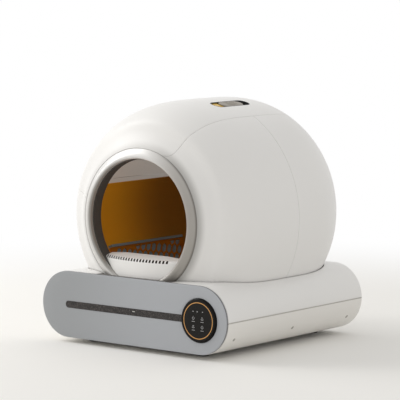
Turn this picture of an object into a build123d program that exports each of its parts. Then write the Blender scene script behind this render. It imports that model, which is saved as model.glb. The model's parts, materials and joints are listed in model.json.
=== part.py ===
from build123d import *
import os
from math import asin, cos, degrees, pi, radians, sin, sqrt

os.makedirs("parts", exist_ok=True)

# Self cleaning litter box in millimetres. Z is up, X runs to the right and the entrance looks along -Y.
# The origin lies on the floor, below the middle of the object. Angles round the drum axis start at +X
# and grow towards +Z.

# Fits shared by all pieces
fit_gap = 0.3        # between pieces that rest on or beside each other
running_gap = 0.05   # radial gap of a shaft in its bore
seam_gap = 0.8       # between neighbouring cover panels
overrun = 6.0        # how far a cutting shape runs past the piece

# Base, a flat box with fully rounded ends
base_width = 560.0
base_height = 159.0
foot_height = 12.0
base_wall = 3.0
base_rear_y = 268.0
base_rear_round = 4.0
base_groove = 1.4     # height and depth of the shadow line between the base shells
dome_slit = 2.5      # between the dome and the edge of the base
base_ring_gap = 2.5  # between the entrance ring and the edge of the base

# Front panel and display
display_face_y = -268.0
display_proud = 5.0
panel_thickness = 4.0
panel_slit = 2.0     # dark gap between the front panel and the base

# Drum axis and dome
dome_side_step = 6.9    # on each side the base reaches this much further out than the dome
dome_rear_step = 12.0   # from the rear of the base to the rear face of the dome
dome_sink = 142.6       # how far the full circle of the dome would dip below the top of the base
dome_wall = 3.0
dome_leg_depth = 21.0   # how far the dome panels reach down into the base
dome_seam_y = 19.0      # seam between the two right panels
cap_depth = 52.0
lid_right_angle = 60.0
lid_left_angle = 165.5

# Dome outline from the front edge to the rear face, as shares of dome_depth and dome_radius
dome_profile_shares = (
    (-0.9121, 0.6232), (-0.8945, 0.6518), (-0.8672, 0.6855), (-0.8359, 0.7261), (-0.8105, 0.7664),
    (-0.7930, 0.8030), (-0.7715, 0.8367), (-0.7266, 0.8715), (-0.6094, 0.9319), (-0.4531, 0.9744),
    (-0.2188, 0.9967), (0.0156, 1.0), (0.2500, 1.0), (0.4063, 0.9963), (0.5625, 0.9802),
    (0.7188, 0.9374), (0.8359, 0.8781), (0.9297, 0.8019), (0.9766, 0.7323), (1.0, 0.6445),
)
dome_section_steps = 36

# Entrance: the steps along Y are counted from the front edge of the dome
ring_slit = 0.85
ring_width = 25.75
ring_outer_step = 3.8
ring_inner_step = 0.3
ring_proud = 12.0
ring_crown_share = 0.25   # where the crown lies, as a share of the way out from the inner edge
ring_shoulder_share = 0.6
ring_shoulder_drop = 3.6
ring_brow_share = 0.03
ring_brow_drop = 4.5
collar_wall = 3.0
tunnel_depth = 27.5
bulkhead_step = 12.0
bulkhead_thickness = 3.0
bulkhead_edge_gap = 2.5
bulkhead_foot_width = 184.0
lip_front_step = 13.5
lip_rear_step = 26.5
lip_wall = 3.0
lip_bulge_radius = 230.0
shelf_front_step = 2.5
shelf_rear_step = 17.5
shelf_front_share = 0.5877   # height below the drum axis, as a share of the ring's inner radius
shelf_rear_share = 0.5669
lip_edge_round = 7.0
lip_rise_reach = 38.0
lip_slot_count = 22
lip_slot_row_share = 0.6476
lip_slot_width = 4.4
lip_slot_depth = 6.0
lip_slot_middle_x = -10.0

# Drum
drum_floor_gap = 6.7
drum_wall = 3.0
drum_front_step = 27.5
drum_rear_step = 60.0
drum_shoulder_depth = 20.0
drum_mouth_step = 5.9
drum_lip_length = 3.0
drum_front_round = 24.0
drum_rear_round = 22.0
drum_cap_depth = 41.5
port_from_angle = 100.0
port_to_angle = 160.0
port_front_step = 60.0
port_rear_step = 23.5
track_height = 4.0
front_track_step = 46.5
front_track_width = 19.0
rear_track_step = 11.5
rear_track_width = 18.0

# Sieve, a curved plate with six-sided holes that stands off the drum wall
sieve_from_angle = 206.5
sieve_to_angle = 244.0
sieve_bar_angle = 204.7
sieve_front_step = 6.0
sieve_rear_step = 3.0
sieve_rib = 3.0
sieve_stand_off = 9.0
sieve_thickness = 2.5
sieve_seat_gap = 0.1
sieve_bar_height = 3.0
sieve_frame = 4.0
sieve_hole_pitch = 17.5
sieve_hole_width = 13.0
sieve_hole_length = 24.0
sieve_row_pitch = 21.5
sieve_hole_overlap = 4.0   # how far the middle of a cut hole may lie outside the window
sieve_row_lean = 0.19      # how much a row of holes drops for its length
sieve_hole_lean = 0.95     # how much a hole leans to the rear for its height
sieve_column_reach = 9
sieve_row_reach = 4
mat_margin = 2.5

# Gears: the ring round the drum and the pinion that drives it
gear_pitch_rise = 8.0    # of the pitch circle above the drum wall
ring_teeth = 104
pinion_teeth = 16
gear_mesh_gap = 0.4
gear_front_step = 3.5
gear_width = 12.0
ring_root_drop = 5.0
ring_tip_rise = 3.5
pinion_root_drop = 5.0
pinion_tip_rise = 3.5
tooth_root_share = 0.50
tooth_tip_share = 0.20
pinion_angle = -60.0
pinion_shaft_radius = 4.0
magnet_radius = 3.5
magnet_thickness = 2.5
magnet_angle = -75.0

# Drive behind the pinion
bracket_step = 6.0
bracket_thickness = 3.0
bracket_half_width = 29.0
bracket_rise = 24.7
bracket_foot_depth = 24.0
bracket_shaft_clearance = 2.0
gearbox_radius = 26.0
gearbox_depth = 30.0
gearbox_shaft_depth = 16.0
motor_radius = 18.0
motor_depth = 42.0
sensor_size = 7.0
sensor_thickness = 2.5

# Rollers that carry the drum
roller_radius = 15.0
roller_width = 14.0
roller_spread_angle = 38.0
axle_radius = 3.0
cheek_thickness = 4.0
cheek_width = 20.0
cheek_gap = 0.6
cheek_rise = 7.0

# Deck over the drawer
deck_thickness = 3.0
deck_rear_step = 3.0
chute_share = 0.5    # half width of the chute, as a share of the drum radius
chute_wall = 3.0
chute_wall_height = 16.0
post_width = 24.0
post_depth = 20.0
panel_post_places = (-120.0, 110.0)
cap_post_radius = 8.0
cap_post_step = 16.0

# Drawer
tray_left_reach = 14.5    # beyond the middle of the left rounded end
tray_right_step = 60.5    # short of the middle of the right one
tray_rear_step = 1.0
tray_floor_gap = 3.0
tray_top_gap = 4.3
tray_wall = 2.5
tray_corner_round = 14.0
tray_floor_round = 8.0
tray_front_gap = 3.0
bag_ring_height = 3.0
bag_ring_overhang = 2.0
bag_ring_width = 13.0
bridge_left_step = 35.0
bridge_right_step = 40.0
bridge_bottom_step = 22.0
bridge_top_step = 17.5
rail_width = 12.0
rail_inset = 65.0
frame_thickness = 3.0
frame_opening_margin = 4.0

# Front panel details
panel_inset = 0.5
panel_edge_round = 1.2
display_radius = 50.5
display_hole_gap = 0.8
display_edge_round = 4.0
lens_radius = 46.4
lens_thickness = 1.8
display_wall = 3.0
light_ring_radius = 41.5
light_ring_width = 1.8
light_ring_thickness = 0.8
display_board_radius = 42.0
board_thickness = 1.6
display_cable_radius = 8.0
strip_left_reach = 5.0
strip_rise = 0.5
strip_height = 16.5
strip_thickness = 0.6
strip_light_x = 5.4
strip_light_rise = 2.2
strip_light_length = 8.0
strip_light_height = 1.8
strip_light_thickness = 0.3

# Feet, screws, boards and inlet
foot_radius = 14.0
foot_taper = 2.0
foot_side_step = 35.5
foot_front_step = 52.0
foot_rear_step = 48.0
screw_head_radius = 4.2
screw_head_thickness = 1.2
screw_shank_radius = 2.0
screw_length = 12.0
screw_angle = -32.5
screw_front_step = 36.0
screw_middle_y = 1.0
screw_rear_step = 48.0
column_radius = 6.0
column_side_reach = 39.5
column_places = (-200.0, 100.0)
control_side_reach = 21.5
control_width = 70.0
control_front_y = -190.0
control_rear_y = -70.0
control_rise = 7.0
standoff_radius = 3.0
standoff_inset = 6.0
chip_height = 6.0
chip_width = 18.0
capacitor_radius = 6.0
capacitor_height = 20.0
inlet_side_reach = 19.5
inlet_drop = 31.5
inlet_radius = 7.0
inlet_depth = 18.0
inlet_bore_radius = 3.2
inlet_bore_depth = 12.0
inlet_pin_radius = 1.0

# Latch on the lid
latch_angle = 75.0
latch_y = 15.0
latch_length = 130.0
latch_width = 36.0
cup_wall = 2.0
cup_depth = 10.0
cup_hole_gap = 0.3
slider_length = 76.0
slider_side_gap = 0.4
slider_thickness = 3.0
slider_rest_shift = 3.0
slider_travel = 24.0
stem_length = 20.0
stem_width = 10.0
stem_slot_gap = 1.0
tongue_thickness = 3.0
tongue_length = 14.0
tongue_reach = 44.0
tongue_drop = 2.0
indicator_thickness = 6.5
ledge_thickness = 3.0
ledge_from_angle = 56.5
ledge_to_angle = 63.0
keeper_to_angle = 67.5
keeper_length = 20.0
keeper_clearance = 5.0

# Hinge of the lid
hinge_front_y = -20.0
hinge_knuckle_length = 20.0
hinge_knuckle_count = 5
hinge_knuckle_gap = 0.4
hinge_rise = 4.9
hinge_knuckle_radius = 4.5
hinge_pin_radius = 2.0
hinge_leaf_thickness = 3.0
hinge_leaf_width = 20.0

# Places worked out from the sizes above
base_bottom_z = foot_height
base_top_z = base_bottom_z + base_height
base_middle_z = base_bottom_z + base_height / 2
end_radius = base_height / 2
end_centre_x = base_width / 2 - end_radius
panel_front_y = display_face_y + display_proud
panel_rear_y = panel_front_y + panel_thickness
base_front_y = panel_rear_y + panel_slit
floor_z = base_bottom_z + base_wall
frame_rear_y = base_front_y + panel_slit + frame_thickness
deck_bottom_z = base_middle_z + fit_gap
deck_top_z = deck_bottom_z + deck_thickness
dome_radius = base_width / 2 - dome_side_step
dome_depth = base_rear_y - dome_rear_step
dome_leg_z = base_top_z - dome_leg_depth
drum_axis_z = base_top_z + dome_radius - dome_sink
rim_front_y = dome_profile_shares[0][0] * dome_depth
cap_front_y = dome_depth - cap_depth
cap_post_y = dome_depth - cap_post_step
ring_outer_radius = dome_profile_shares[0][1] * dome_radius - ring_slit
ring_inner_radius = ring_outer_radius - ring_width
ring_outer_y = rim_front_y + ring_outer_step
ring_inner_y = rim_front_y + ring_inner_step
ring_crown_y = rim_front_y - ring_proud
collar_rear_y = rim_front_y + tunnel_depth
bulkhead_y = rim_front_y + bulkhead_step
lip_front_y = rim_front_y - lip_front_step
lip_rear_y = rim_front_y + lip_rear_step
lip_slot_pitch = 2 * ring_inner_radius * lip_slot_row_share / (lip_slot_count - 1)
shelf_front_y = rim_front_y - shelf_front_step
shelf_rear_y = rim_front_y + shelf_rear_step
shelf_front_z = drum_axis_z - shelf_front_share * ring_inner_radius
shelf_rear_z = drum_axis_z - shelf_rear_share * ring_inner_radius
drum_radius = drum_axis_z - deck_top_z - drum_floor_gap
drum_inner_radius = drum_radius - drum_wall
drum_mouth_radius = ring_inner_radius + drum_mouth_step
drum_front_y = rim_front_y + drum_front_step
drum_shoulder_y = drum_front_y + drum_shoulder_depth
drum_lip_y = drum_front_y - drum_lip_length
drum_rear_y = dome_depth - drum_rear_step
drum_split_y = drum_rear_y - drum_cap_depth
track_radius = drum_radius + track_height
front_track_y = drum_front_y + front_track_step
rear_track_y = drum_split_y - rear_track_step
port_front_y = drum_front_y + port_front_step
port_rear_y = drum_split_y - port_rear_step
sieve_front_y = port_front_y + sieve_front_step
sieve_rear_y = port_rear_y - sieve_rear_step
sieve_radius = drum_inner_radius - sieve_stand_off
gear_module = 2 * (drum_radius + gear_pitch_rise) / ring_teeth
ring_pitch_radius = gear_module * ring_teeth / 2
pinion_pitch_radius = gear_module * pinion_teeth / 2
pinion_distance = ring_pitch_radius + pinion_pitch_radius + gear_mesh_gap
pinion_x = pinion_distance * cos(radians(pinion_angle))
pinion_z = drum_axis_z + pinion_distance * sin(radians(pinion_angle))
gear_front_y = drum_split_y + gear_front_step
bracket_front_y = gear_front_y + gear_width + bracket_step
bracket_left_x = pinion_x - bracket_half_width
bracket_right_x = pinion_x + bracket_half_width
bracket_top_z = pinion_z + bracket_rise
roller_distance = track_radius + fit_gap + roller_radius
roller_x = roller_distance * sin(radians(roller_spread_angle))
roller_z = drum_axis_z - roller_distance * cos(radians(roller_spread_angle))
deck_rear_y = gear_front_y - deck_rear_step
chute_half_width = chute_share * drum_radius
tray_left_x = -end_centre_x - tray_left_reach
tray_right_x = end_centre_x - tray_right_step
tray_front_y = frame_rear_y + tray_front_gap
tray_rear_y = port_rear_y - tray_rear_step
tray_bottom_z = floor_z + tray_floor_gap
tray_top_z = deck_bottom_z - tray_top_gap
bridge_left_x = tray_left_x + bridge_left_step
bridge_right_x = tray_right_x - bridge_right_step
bridge_bottom_z = tray_bottom_z + bridge_bottom_step
bridge_top_z = tray_top_z - bridge_top_step
rail_places = (tray_left_x + rail_inset, tray_right_x - rail_inset)
strip_left_x = -end_centre_x - strip_left_reach
strip_middle_z = base_middle_z + strip_rise
strip_light_z = base_middle_z + strip_light_rise
foot_x = end_centre_x - foot_side_step
foot_front_y = base_front_y + foot_front_step
foot_rear_y = base_rear_y - foot_rear_step
screw_places = (base_front_y + screw_front_step, screw_middle_y, base_rear_y - screw_rear_step)
column_x = end_centre_x + column_side_reach
control_right_x = end_centre_x + control_side_reach
control_left_x = control_right_x - control_width
inlet_x = end_centre_x + inlet_side_reach
inlet_z = base_middle_z - inlet_drop
seam_angle = degrees(seam_gap / dome_radius)
hinge_radius = dome_radius + hinge_rise
cup_inner_length = latch_length - 2 * cup_wall
cup_inner_width = latch_width - 2 * cup_wall
cup_floor_radius = dome_radius - cup_depth
slider_y = latch_y + slider_rest_shift
drum_axis = Axis((0, 0, drum_axis_z), (0, -1, 0))


def front_plane(depth):
    # faces the front, with X to the right and Z up
    return Plane.XZ.offset(-depth)


def profile_plane(angle):
    # holds the drum axis: its first axis runs along Y, its second away from the drum axis
    turn = radians(angle)
    return Plane(origin=(0, 0, drum_axis_z), x_dir=(0, 1, 0), z_dir=(sin(turn), 0, -cos(turn)))


def tangent_plane(angle, radius, depth):
    # touches a circle round the drum axis: first axis along Y, second along the circle
    turn = radians(angle)
    place = (radius * cos(turn), depth, drum_axis_z + radius * sin(turn))
    return Plane(origin=place, x_dir=(0, 1, 0), z_dir=(cos(turn), 0, sin(turn)))


def block(x_from, x_to, y_from, y_to, z_from, z_to):
    with BuildPart() as solid:
        with BuildSketch(Plane.XY.offset(z_from)):
            with Locations(((x_from + x_to) / 2, (y_from + y_to) / 2)):
                Rectangle(x_to - x_from, y_to - y_from)
        extrude(amount=z_to - z_from)
    return solid.part


def rod(plane, radius, length):
    with BuildPart() as solid:
        with BuildSketch(plane):
            Circle(radius)
        extrude(amount=length)
    return solid.part


def rod_along_y(x, z, radius, y_from, y_to):
    with BuildPart() as solid:
        with BuildSketch(front_plane(y_to)):
            with Locations((x, z)):
                Circle(radius)
        extrude(amount=y_to - y_from)
    return solid.part


def turned(points, angle_from=0, arc=360):
    # a closed outline of depth and radius pairs, turned about the drum axis
    with BuildPart() as solid:
        with BuildSketch(profile_plane(angle_from)):
            with BuildLine():
                Polyline(*points, close=True)
            make_face()
        revolve(axis=drum_axis, revolution_arc=arc)
    return solid.part


def turned_band(y_from, y_to, inner_radius, outer_radius, angle_from=0, arc=360):
    points = [(y_from, inner_radius), (y_to, inner_radius), (y_to, outer_radius), (y_from, outer_radius)]
    return turned(points, angle_from, arc)


def base_block(inset, y_from, y_to):
    with BuildPart() as solid:
        with BuildSketch(front_plane(y_to)):
            with Locations((0, base_middle_z)):
                SlotOverall(base_width - 2 * inset, base_height - 2 * inset)
        extrude(amount=y_to - y_from)
    return solid.part


def base_shell():
    # the rounded box, open at the front and closed at the rear
    with BuildPart() as solid:
        add(base_block(0, base_front_y, base_rear_y))
        fillet(solid.faces().sort_by(Axis.Y)[-1].edges(), radius=base_rear_round)
        add(base_block(base_wall, base_front_y - overrun, base_rear_y - base_wall), mode=Mode.SUBTRACT)
    return solid.part


def base_groove_ring():
    # a thin layer round the outside of the base, just above its middle
    reach = base_width / 2 + overrun
    layer_top_z = base_middle_z + base_groove
    with BuildPart() as solid:
        add(block(-reach, reach, base_front_y - overrun, base_rear_y + overrun, base_middle_z, layer_top_z))
        inside = base_block(base_groove, base_front_y - 2 * overrun, base_rear_y - base_groove)
        add(inside, mode=Mode.SUBTRACT)
    return solid.part


def base_inner_half_width(height):
    return end_centre_x + sqrt((end_radius - base_wall) ** 2 - (height - base_middle_z) ** 2)


dome_curve = Spline(*[(along * dome_depth, out * dome_radius) for along, out in dome_profile_shares])


def dome_share(depth):
    # how far along its length the dome outline reaches this depth
    low, high = 0, 1
    for _ in range(40):
        middle = (low + high) / 2
        if dome_curve.position_at(middle).X < depth:
            low = middle
        else:
            high = middle
    return high


def dome_points(y_from, y_to, inset):
    # points of the dome outline, moved inwards at right angles to the outline
    share_from = dome_share(y_from)
    share_to = dome_share(y_to)
    points = []
    for step in range(dome_section_steps + 1):
        share = share_from + (share_to - share_from) * step / dome_section_steps
        place = dome_curve.position_at(share)
        along = dome_curve.tangent_at(share)
        points.append((place.X + along.Y * inset, place.Y - along.X * inset))
    return points


def dome_radius_at(depth):
    return dome_curve.position_at(dome_share(depth)).Y


def dome_leg_x(depth):
    # where the dome reaches its lower edge at this depth
    return sqrt(dome_radius_at(depth) ** 2 - (drum_axis_z - dome_leg_z) ** 2)


def dome_band(y_from, y_to, outer_inset, inner_inset, angle_from=0, arc=360):
    outer = dome_points(y_from, y_to, outer_inset)
    inner = dome_points(y_from, y_to, inner_inset)
    with BuildPart() as solid:
        with BuildSketch(profile_plane(angle_from)):
            with BuildLine():
                Spline(*outer)
                Line(outer[-1], inner[-1])
                Spline(*inner[::-1])
                Line(inner[0], outer[0])
            make_face()
        revolve(axis=drum_axis, revolution_arc=arc)
    return solid.part


def dome_core(y_from, y_to, inset):
    # everything within the dome outline, in to the drum axis
    outer = dome_points(y_from, y_to, inset)
    with BuildPart() as solid:
        with BuildSketch(profile_plane(0)):
            with BuildLine():
                Spline(*outer)
                Polyline(outer[-1], (outer[-1][0], 0), (outer[0][0], 0), outer[0])
            make_face()
        revolve(axis=drum_axis, revolution_arc=360)
    return solid.part


def below_legs():
    reach = base_width / 2
    return block(-reach, reach, base_front_y, base_rear_y, 0, dome_leg_z)


# Base shells
with BuildPart() as base_lower_shell:
    add(base_shell())
    for x in (-column_x, column_x):
        for y in column_places:
            add(rod(Plane(origin=(x, y, base_bottom_z)), column_radius, end_radius))
    for x in (control_left_x + standoff_inset, control_right_x - standoff_inset):
        for y in (control_front_y + standoff_inset, control_rear_y - standoff_inset):
            add(rod(Plane(origin=(x, y, base_bottom_z)), standoff_radius, base_wall + control_rise))
    add(base_block(0, base_front_y, base_rear_y), mode=Mode.INTERSECT)
    for side in (0, 180):
        for y in screw_places:
            turn = radians(screw_angle)
            out = cos(turn) if side == 0 else -cos(turn)
            middle_x = end_centre_x if side == 0 else -end_centre_x
            place = (middle_x + end_radius * out, y, base_middle_z + end_radius * sin(turn))
            seat = Plane(origin=place, x_dir=(0, 1, 0), z_dir=(-out, 0, -sin(turn)))
            head = screw_head_thickness + fit_gap
            add(rod(seat.offset(-overrun), screw_head_radius + fit_gap, overrun + head), mode=Mode.SUBTRACT)
            add(rod(seat, screw_shank_radius + running_gap, overrun), mode=Mode.SUBTRACT)
    inlet_radius_cut = inlet_radius + running_gap
    inlet_from_y = base_rear_y - inlet_depth
    inlet_seat = rod_along_y(inlet_x, inlet_z, inlet_radius_cut, inlet_from_y, base_rear_y + overrun)
    add(inlet_seat, mode=Mode.SUBTRACT)
    split(bisect_by=Plane.XY.offset(base_middle_z), keep=Keep.BOTTOM)
base_lower_shell.part.label = "base_lower_shell"
export_step(base_lower_shell.part, "parts/base_lower_shell.step")

ring_slit_radius = ring_outer_radius + 2 * fit_gap
ring_slit_rear_y = ring_outer_y + 2 * dome_slit
ring_room = turned_band(ring_crown_y - dome_slit, ring_slit_rear_y, 0, ring_slit_radius)
base_ring_radius = ring_outer_radius + base_ring_gap
base_ring_room = turned_band(ring_crown_y - dome_slit, ring_slit_rear_y, 0, base_ring_radius)
with BuildPart() as base_upper_shell:
    add(base_shell())
    add(dome_core(rim_front_y, dome_depth, -dome_slit), mode=Mode.SUBTRACT)
    add(base_ring_room, mode=Mode.SUBTRACT)
    rear_slit = turned_band(dome_depth - overrun, dome_depth + dome_slit, 0, dome_radius_at(dome_depth))
    add(rear_slit, mode=Mode.SUBTRACT)
    split(bisect_by=Plane.XY.offset(base_middle_z), keep=Keep.TOP)
    add(base_groove_ring(), mode=Mode.SUBTRACT)
base_upper_shell.part.label = "base_upper_shell"
export_step(base_upper_shell.part, "parts/base_upper_shell.step")

with BuildPart() as rubber_feet:
    with BuildSketch(Plane.XY):
        with Locations(*[(x, y) for x in (-foot_x, foot_x) for y in (foot_front_y, foot_rear_y)]):
            Circle(foot_radius)
    extrude(amount=foot_height)
    chamfer(rubber_feet.faces().group_by(Axis.Z)[0].edges(), length=foot_taper)
rubber_feet.part.label = "rubber_feet"
export_step(rubber_feet.part, "parts/rubber_feet.step")

with BuildPart() as side_screws:
    for side in (0, 180):
        for y in screw_places:
            turn = radians(screw_angle)
            out = cos(turn) if side == 0 else -cos(turn)
            middle_x = end_centre_x if side == 0 else -end_centre_x
            head_radius = end_radius - fit_gap
            place = (middle_x + head_radius * out, y, base_middle_z + head_radius * sin(turn))
            seat = Plane(origin=place, x_dir=(0, 1, 0), z_dir=(-out, 0, -sin(turn)))
            add(rod(seat, screw_head_radius, screw_head_thickness))
            add(rod(seat, screw_shank_radius, screw_length))
side_screws.part.label = "side_screws"
export_step(side_screws.part, "parts/side_screws.step")

# Front frame inside the base, with a gateway for the drawer and a cable hole for the display
with BuildPart() as front_frame:
    add(base_block(base_wall + fit_gap, frame_rear_y - frame_thickness, frame_rear_y))
    gate_left_x = tray_left_x - frame_opening_margin
    gate_right_x = tray_right_x + frame_opening_margin
    gate_from_y = frame_rear_y - frame_thickness - overrun
    gate_to_y = frame_rear_y + overrun
    gate = block(gate_left_x, gate_right_x, gate_from_y, gate_to_y, 0, base_middle_z)
    add(gate, mode=Mode.SUBTRACT)
    cable_hole = rod_along_y(end_centre_x, base_middle_z, display_cable_radius, gate_from_y, gate_to_y)
    add(cable_hole, mode=Mode.SUBTRACT)
front_frame.part.label = "front_frame"
export_step(front_frame.part, "parts/front_frame.step")

# Deck between the drawer and the drum, with the chute, the roller cheeks and the panel posts
deck_half_width = base_inner_half_width(deck_top_z) - fit_gap
roller_sides = (("left", -roller_x), ("right", roller_x))
roller_places = (("front", front_track_y), ("rear", rear_track_y))
cheek_reach = roller_width / 2 + cheek_gap
with BuildPart() as drum_deck:
    deck_front_y = frame_rear_y + fit_gap
    add(block(-deck_half_width, deck_half_width, deck_front_y, deck_rear_y, deck_bottom_z, deck_top_z))
    chute_from_z = deck_bottom_z - overrun
    chute_to_z = deck_top_z + overrun
    chute = block(-chute_half_width, chute_half_width, port_front_y, port_rear_y, chute_from_z, chute_to_z)
    add(chute, mode=Mode.SUBTRACT)
    chute_top_z = deck_top_z + chute_wall_height
    for x in (-chute_half_width - chute_wall, chute_half_width):
        add(block(x, x + chute_wall, port_front_y, port_rear_y, deck_bottom_z, chute_top_z))
    for _, x in roller_sides:
        for _, y in roller_places:
            left_x = x - cheek_width / 2
            right_x = x + cheek_width / 2
            top_z = roller_z + cheek_rise
            for cheek_y in (y - cheek_reach - cheek_thickness, y + cheek_reach):
                add(block(left_x, right_x, cheek_y, cheek_y + cheek_thickness, deck_bottom_z, top_z))
            from_y = y - cheek_reach - cheek_thickness - fit_gap
            to_y = y + cheek_reach + cheek_thickness + fit_gap
            add(rod_along_y(x, roller_z, axle_radius, from_y, to_y), mode=Mode.SUBTRACT)
    for side in (-1, 1):
        for y in panel_post_places:
            x = side * dome_leg_x(y)
            top_z = dome_leg_z - fit_gap
            add(block(x - post_width / 2, x + post_width / 2, y - post_depth / 2, y + post_depth / 2,
                      deck_bottom_z, top_z))
drum_deck.part.label = "drum_deck"
export_step(drum_deck.part, "parts/drum_deck.step")

with BuildPart() as cap_posts:
    cap_post_x = dome_leg_x(cap_post_y) - dome_wall / 2
    for x in (-cap_post_x, cap_post_x):
        add(rod(Plane(origin=(x, cap_post_y, floor_z)), cap_post_radius, dome_leg_z - fit_gap - floor_z))
cap_posts.part.label = "cap_posts"
export_step(cap_posts.part, "parts/cap_posts.step")

# Dome covers, which all reach forward to the ring
panel_from_y = rim_front_y
panel_to_y = cap_front_y - seam_gap
with BuildPart() as right_front_panel:
    add(dome_band(panel_from_y, dome_seam_y - seam_gap / 2, 0, dome_wall, -90, lid_right_angle + 90))
    add(below_legs(), mode=Mode.SUBTRACT)
    add(ring_room, mode=Mode.SUBTRACT)
right_front_panel.part.label = "right_front_panel"
export_step(right_front_panel.part, "parts/right_front_panel.step")

with BuildPart() as right_rear_panel:
    add(dome_band(dome_seam_y + seam_gap / 2, panel_to_y, 0, dome_wall, -90, lid_right_angle + 90))
    add(below_legs(), mode=Mode.SUBTRACT)
right_rear_panel.part.label = "right_rear_panel"
export_step(right_rear_panel.part, "parts/right_rear_panel.step")

with BuildPart() as left_panel:
    add(dome_band(panel_from_y, panel_to_y, 0, dome_wall, lid_left_angle, 270 - lid_left_angle))
    add(below_legs(), mode=Mode.SUBTRACT)
    add(ring_room, mode=Mode.SUBTRACT)
left_panel.part.label = "left_panel"
export_step(left_panel.part, "parts/left_panel.step")

with BuildPart() as rear_cap:
    add(dome_band(cap_front_y, dome_depth, 0, dome_wall))
    add(turned_band(dome_depth - dome_wall, dome_depth, 0, dome_radius_at(dome_depth)))
    add(below_legs(), mode=Mode.SUBTRACT)
rear_cap.part.label = "rear_cap"
export_step(rear_cap.part, "parts/rear_cap.step")

# Entrance: ring, tunnel collar, bulkhead and lip
ring_inner_edge = (ring_inner_y, ring_inner_radius)
ring_outer_edge = (ring_outer_y, ring_outer_radius)
ring_brow = (ring_crown_y + ring_brow_drop, ring_inner_radius + ring_brow_share * ring_width)
ring_crown = (ring_crown_y, ring_inner_radius + ring_crown_share * ring_width)
ring_shoulder = (ring_crown_y + ring_shoulder_drop, ring_inner_radius + ring_shoulder_share * ring_width)
with BuildPart() as entrance_ring:
    with BuildSketch(profile_plane(0)):
        with BuildLine():
            Line(ring_inner_edge, ring_brow)
            Spline(ring_brow, ring_crown, ring_shoulder, ring_outer_edge)
            Line(ring_outer_edge, ring_inner_edge)
        make_face()
    revolve(axis=drum_axis, revolution_arc=360)
entrance_ring.part.label = "entrance_ring"
export_step(entrance_ring.part, "parts/entrance_ring.step")

collar_radius = ring_inner_radius + collar_wall
ring_back_slope = (ring_outer_y - ring_inner_y) / (ring_outer_radius - ring_inner_radius)
collar_front_y = ring_inner_y + ring_back_slope * collar_wall + fit_gap
with BuildPart() as tunnel_collar:
    add(turned_band(collar_front_y, collar_rear_y, ring_inner_radius, collar_radius))
tunnel_collar.part.label = "tunnel_collar"
export_step(tunnel_collar.part, "parts/tunnel_collar.step")

with BuildPart() as entrance_bulkhead:
    bulkhead_front_y = bulkhead_y - bulkhead_thickness
    bulkhead_radius = dome_radius_at(bulkhead_front_y) - dome_wall - bulkhead_edge_gap
    add(turned_band(bulkhead_front_y, bulkhead_y, 0, bulkhead_radius))
    half_foot = bulkhead_foot_width / 2
    add(block(-half_foot, half_foot, bulkhead_front_y, bulkhead_y, deck_top_z, base_top_z))
    tunnel_hole = turned_band(bulkhead_y - overrun, bulkhead_y + overrun, 0, collar_radius + fit_gap)
    add(tunnel_hole, mode=Mode.SUBTRACT)
entrance_bulkhead.part.label = "entrance_bulkhead"
export_step(entrance_bulkhead.part, "parts/entrance_bulkhead.step")

lip_radius = ring_inner_radius - fit_gap
lip_bottom_z = drum_axis_z - ring_inner_radius
lip_bulge_y = lip_front_y + lip_bulge_radius
shelf_slope = (shelf_rear_z - shelf_front_z) / (shelf_rear_y - shelf_front_y)
lip_edge_z = shelf_front_z + shelf_slope * (lip_front_y - shelf_front_y)


def lip_bulge(inset):
    # a wide upright drum whose side bulges at the front and whose upper edge is rounded
    side = lip_bulge_radius - inset
    low_z = lip_bottom_z - overrun
    edge_z = lip_edge_z - inset
    rise_z = edge_z + lip_edge_round
    with BuildPart() as solid:
        with BuildSketch(Plane.XZ.offset(-lip_bulge_y)):
            with BuildLine():
                Polyline((0, rise_z), (0, low_z), (side, low_z), (side, edge_z - lip_edge_round))
                RadiusArc((side, edge_z - lip_edge_round), (side - lip_edge_round, edge_z), -lip_edge_round)
                Polyline((side - lip_edge_round, edge_z), (side - lip_rise_reach, rise_z), (0, rise_z))
            make_face()
        revolve(axis=Axis((0, lip_bulge_y, 0), (0, 0, 1)))
    return solid.part


def lip_block(inset, y_from, y_to):
    # the filled lower part of the tunnel, below a shelf that rises to the rear, with a bulging front
    z_from = shelf_front_z + shelf_slope * (y_from - shelf_front_y) - inset
    z_to = shelf_front_z + shelf_slope * (y_to - shelf_front_y) - inset
    with BuildPart() as solid:
        with BuildSketch(Plane.YZ.offset(-lip_radius)):
            with BuildLine():
                bottom = ((y_from, lip_bottom_z), (y_to, lip_bottom_z))
                Polyline(*bottom, (y_to, z_to), (y_from, z_from), close=True)
            make_face()
        extrude(amount=2 * lip_radius)
        add(turned_band(y_from - overrun, y_to + overrun, 0, lip_radius - inset), mode=Mode.INTERSECT)
        add(lip_bulge(inset), mode=Mode.INTERSECT)
    return solid.part


with BuildPart() as entrance_lip:
    add(lip_block(0, lip_front_y, lip_rear_y))
    add(lip_block(lip_wall, lip_front_y, lip_rear_y + overrun), mode=Mode.SUBTRACT)
    slot_places = []
    for slot in range(lip_slot_count):
        slot_x = lip_slot_middle_x + lip_slot_pitch * (slot - (lip_slot_count - 1) / 2)
        slot_front_y = lip_front_y + lip_bulge_radius - sqrt(lip_bulge_radius ** 2 - slot_x ** 2)
        slot_places.append((slot_x, slot_front_y + (lip_slot_depth - lip_slot_width) / 2))
    with BuildSketch(Plane.XY.offset(shelf_front_z - lip_edge_round)):
        with Locations(*slot_places):
            SlotOverall(lip_slot_depth, lip_slot_width, rotation=90)
    extrude(amount=base_height, mode=Mode.SUBTRACT)
entrance_lip.part.label = "entrance_lip"
export_step(entrance_lip.part, "parts/entrance_lip.step")

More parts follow.
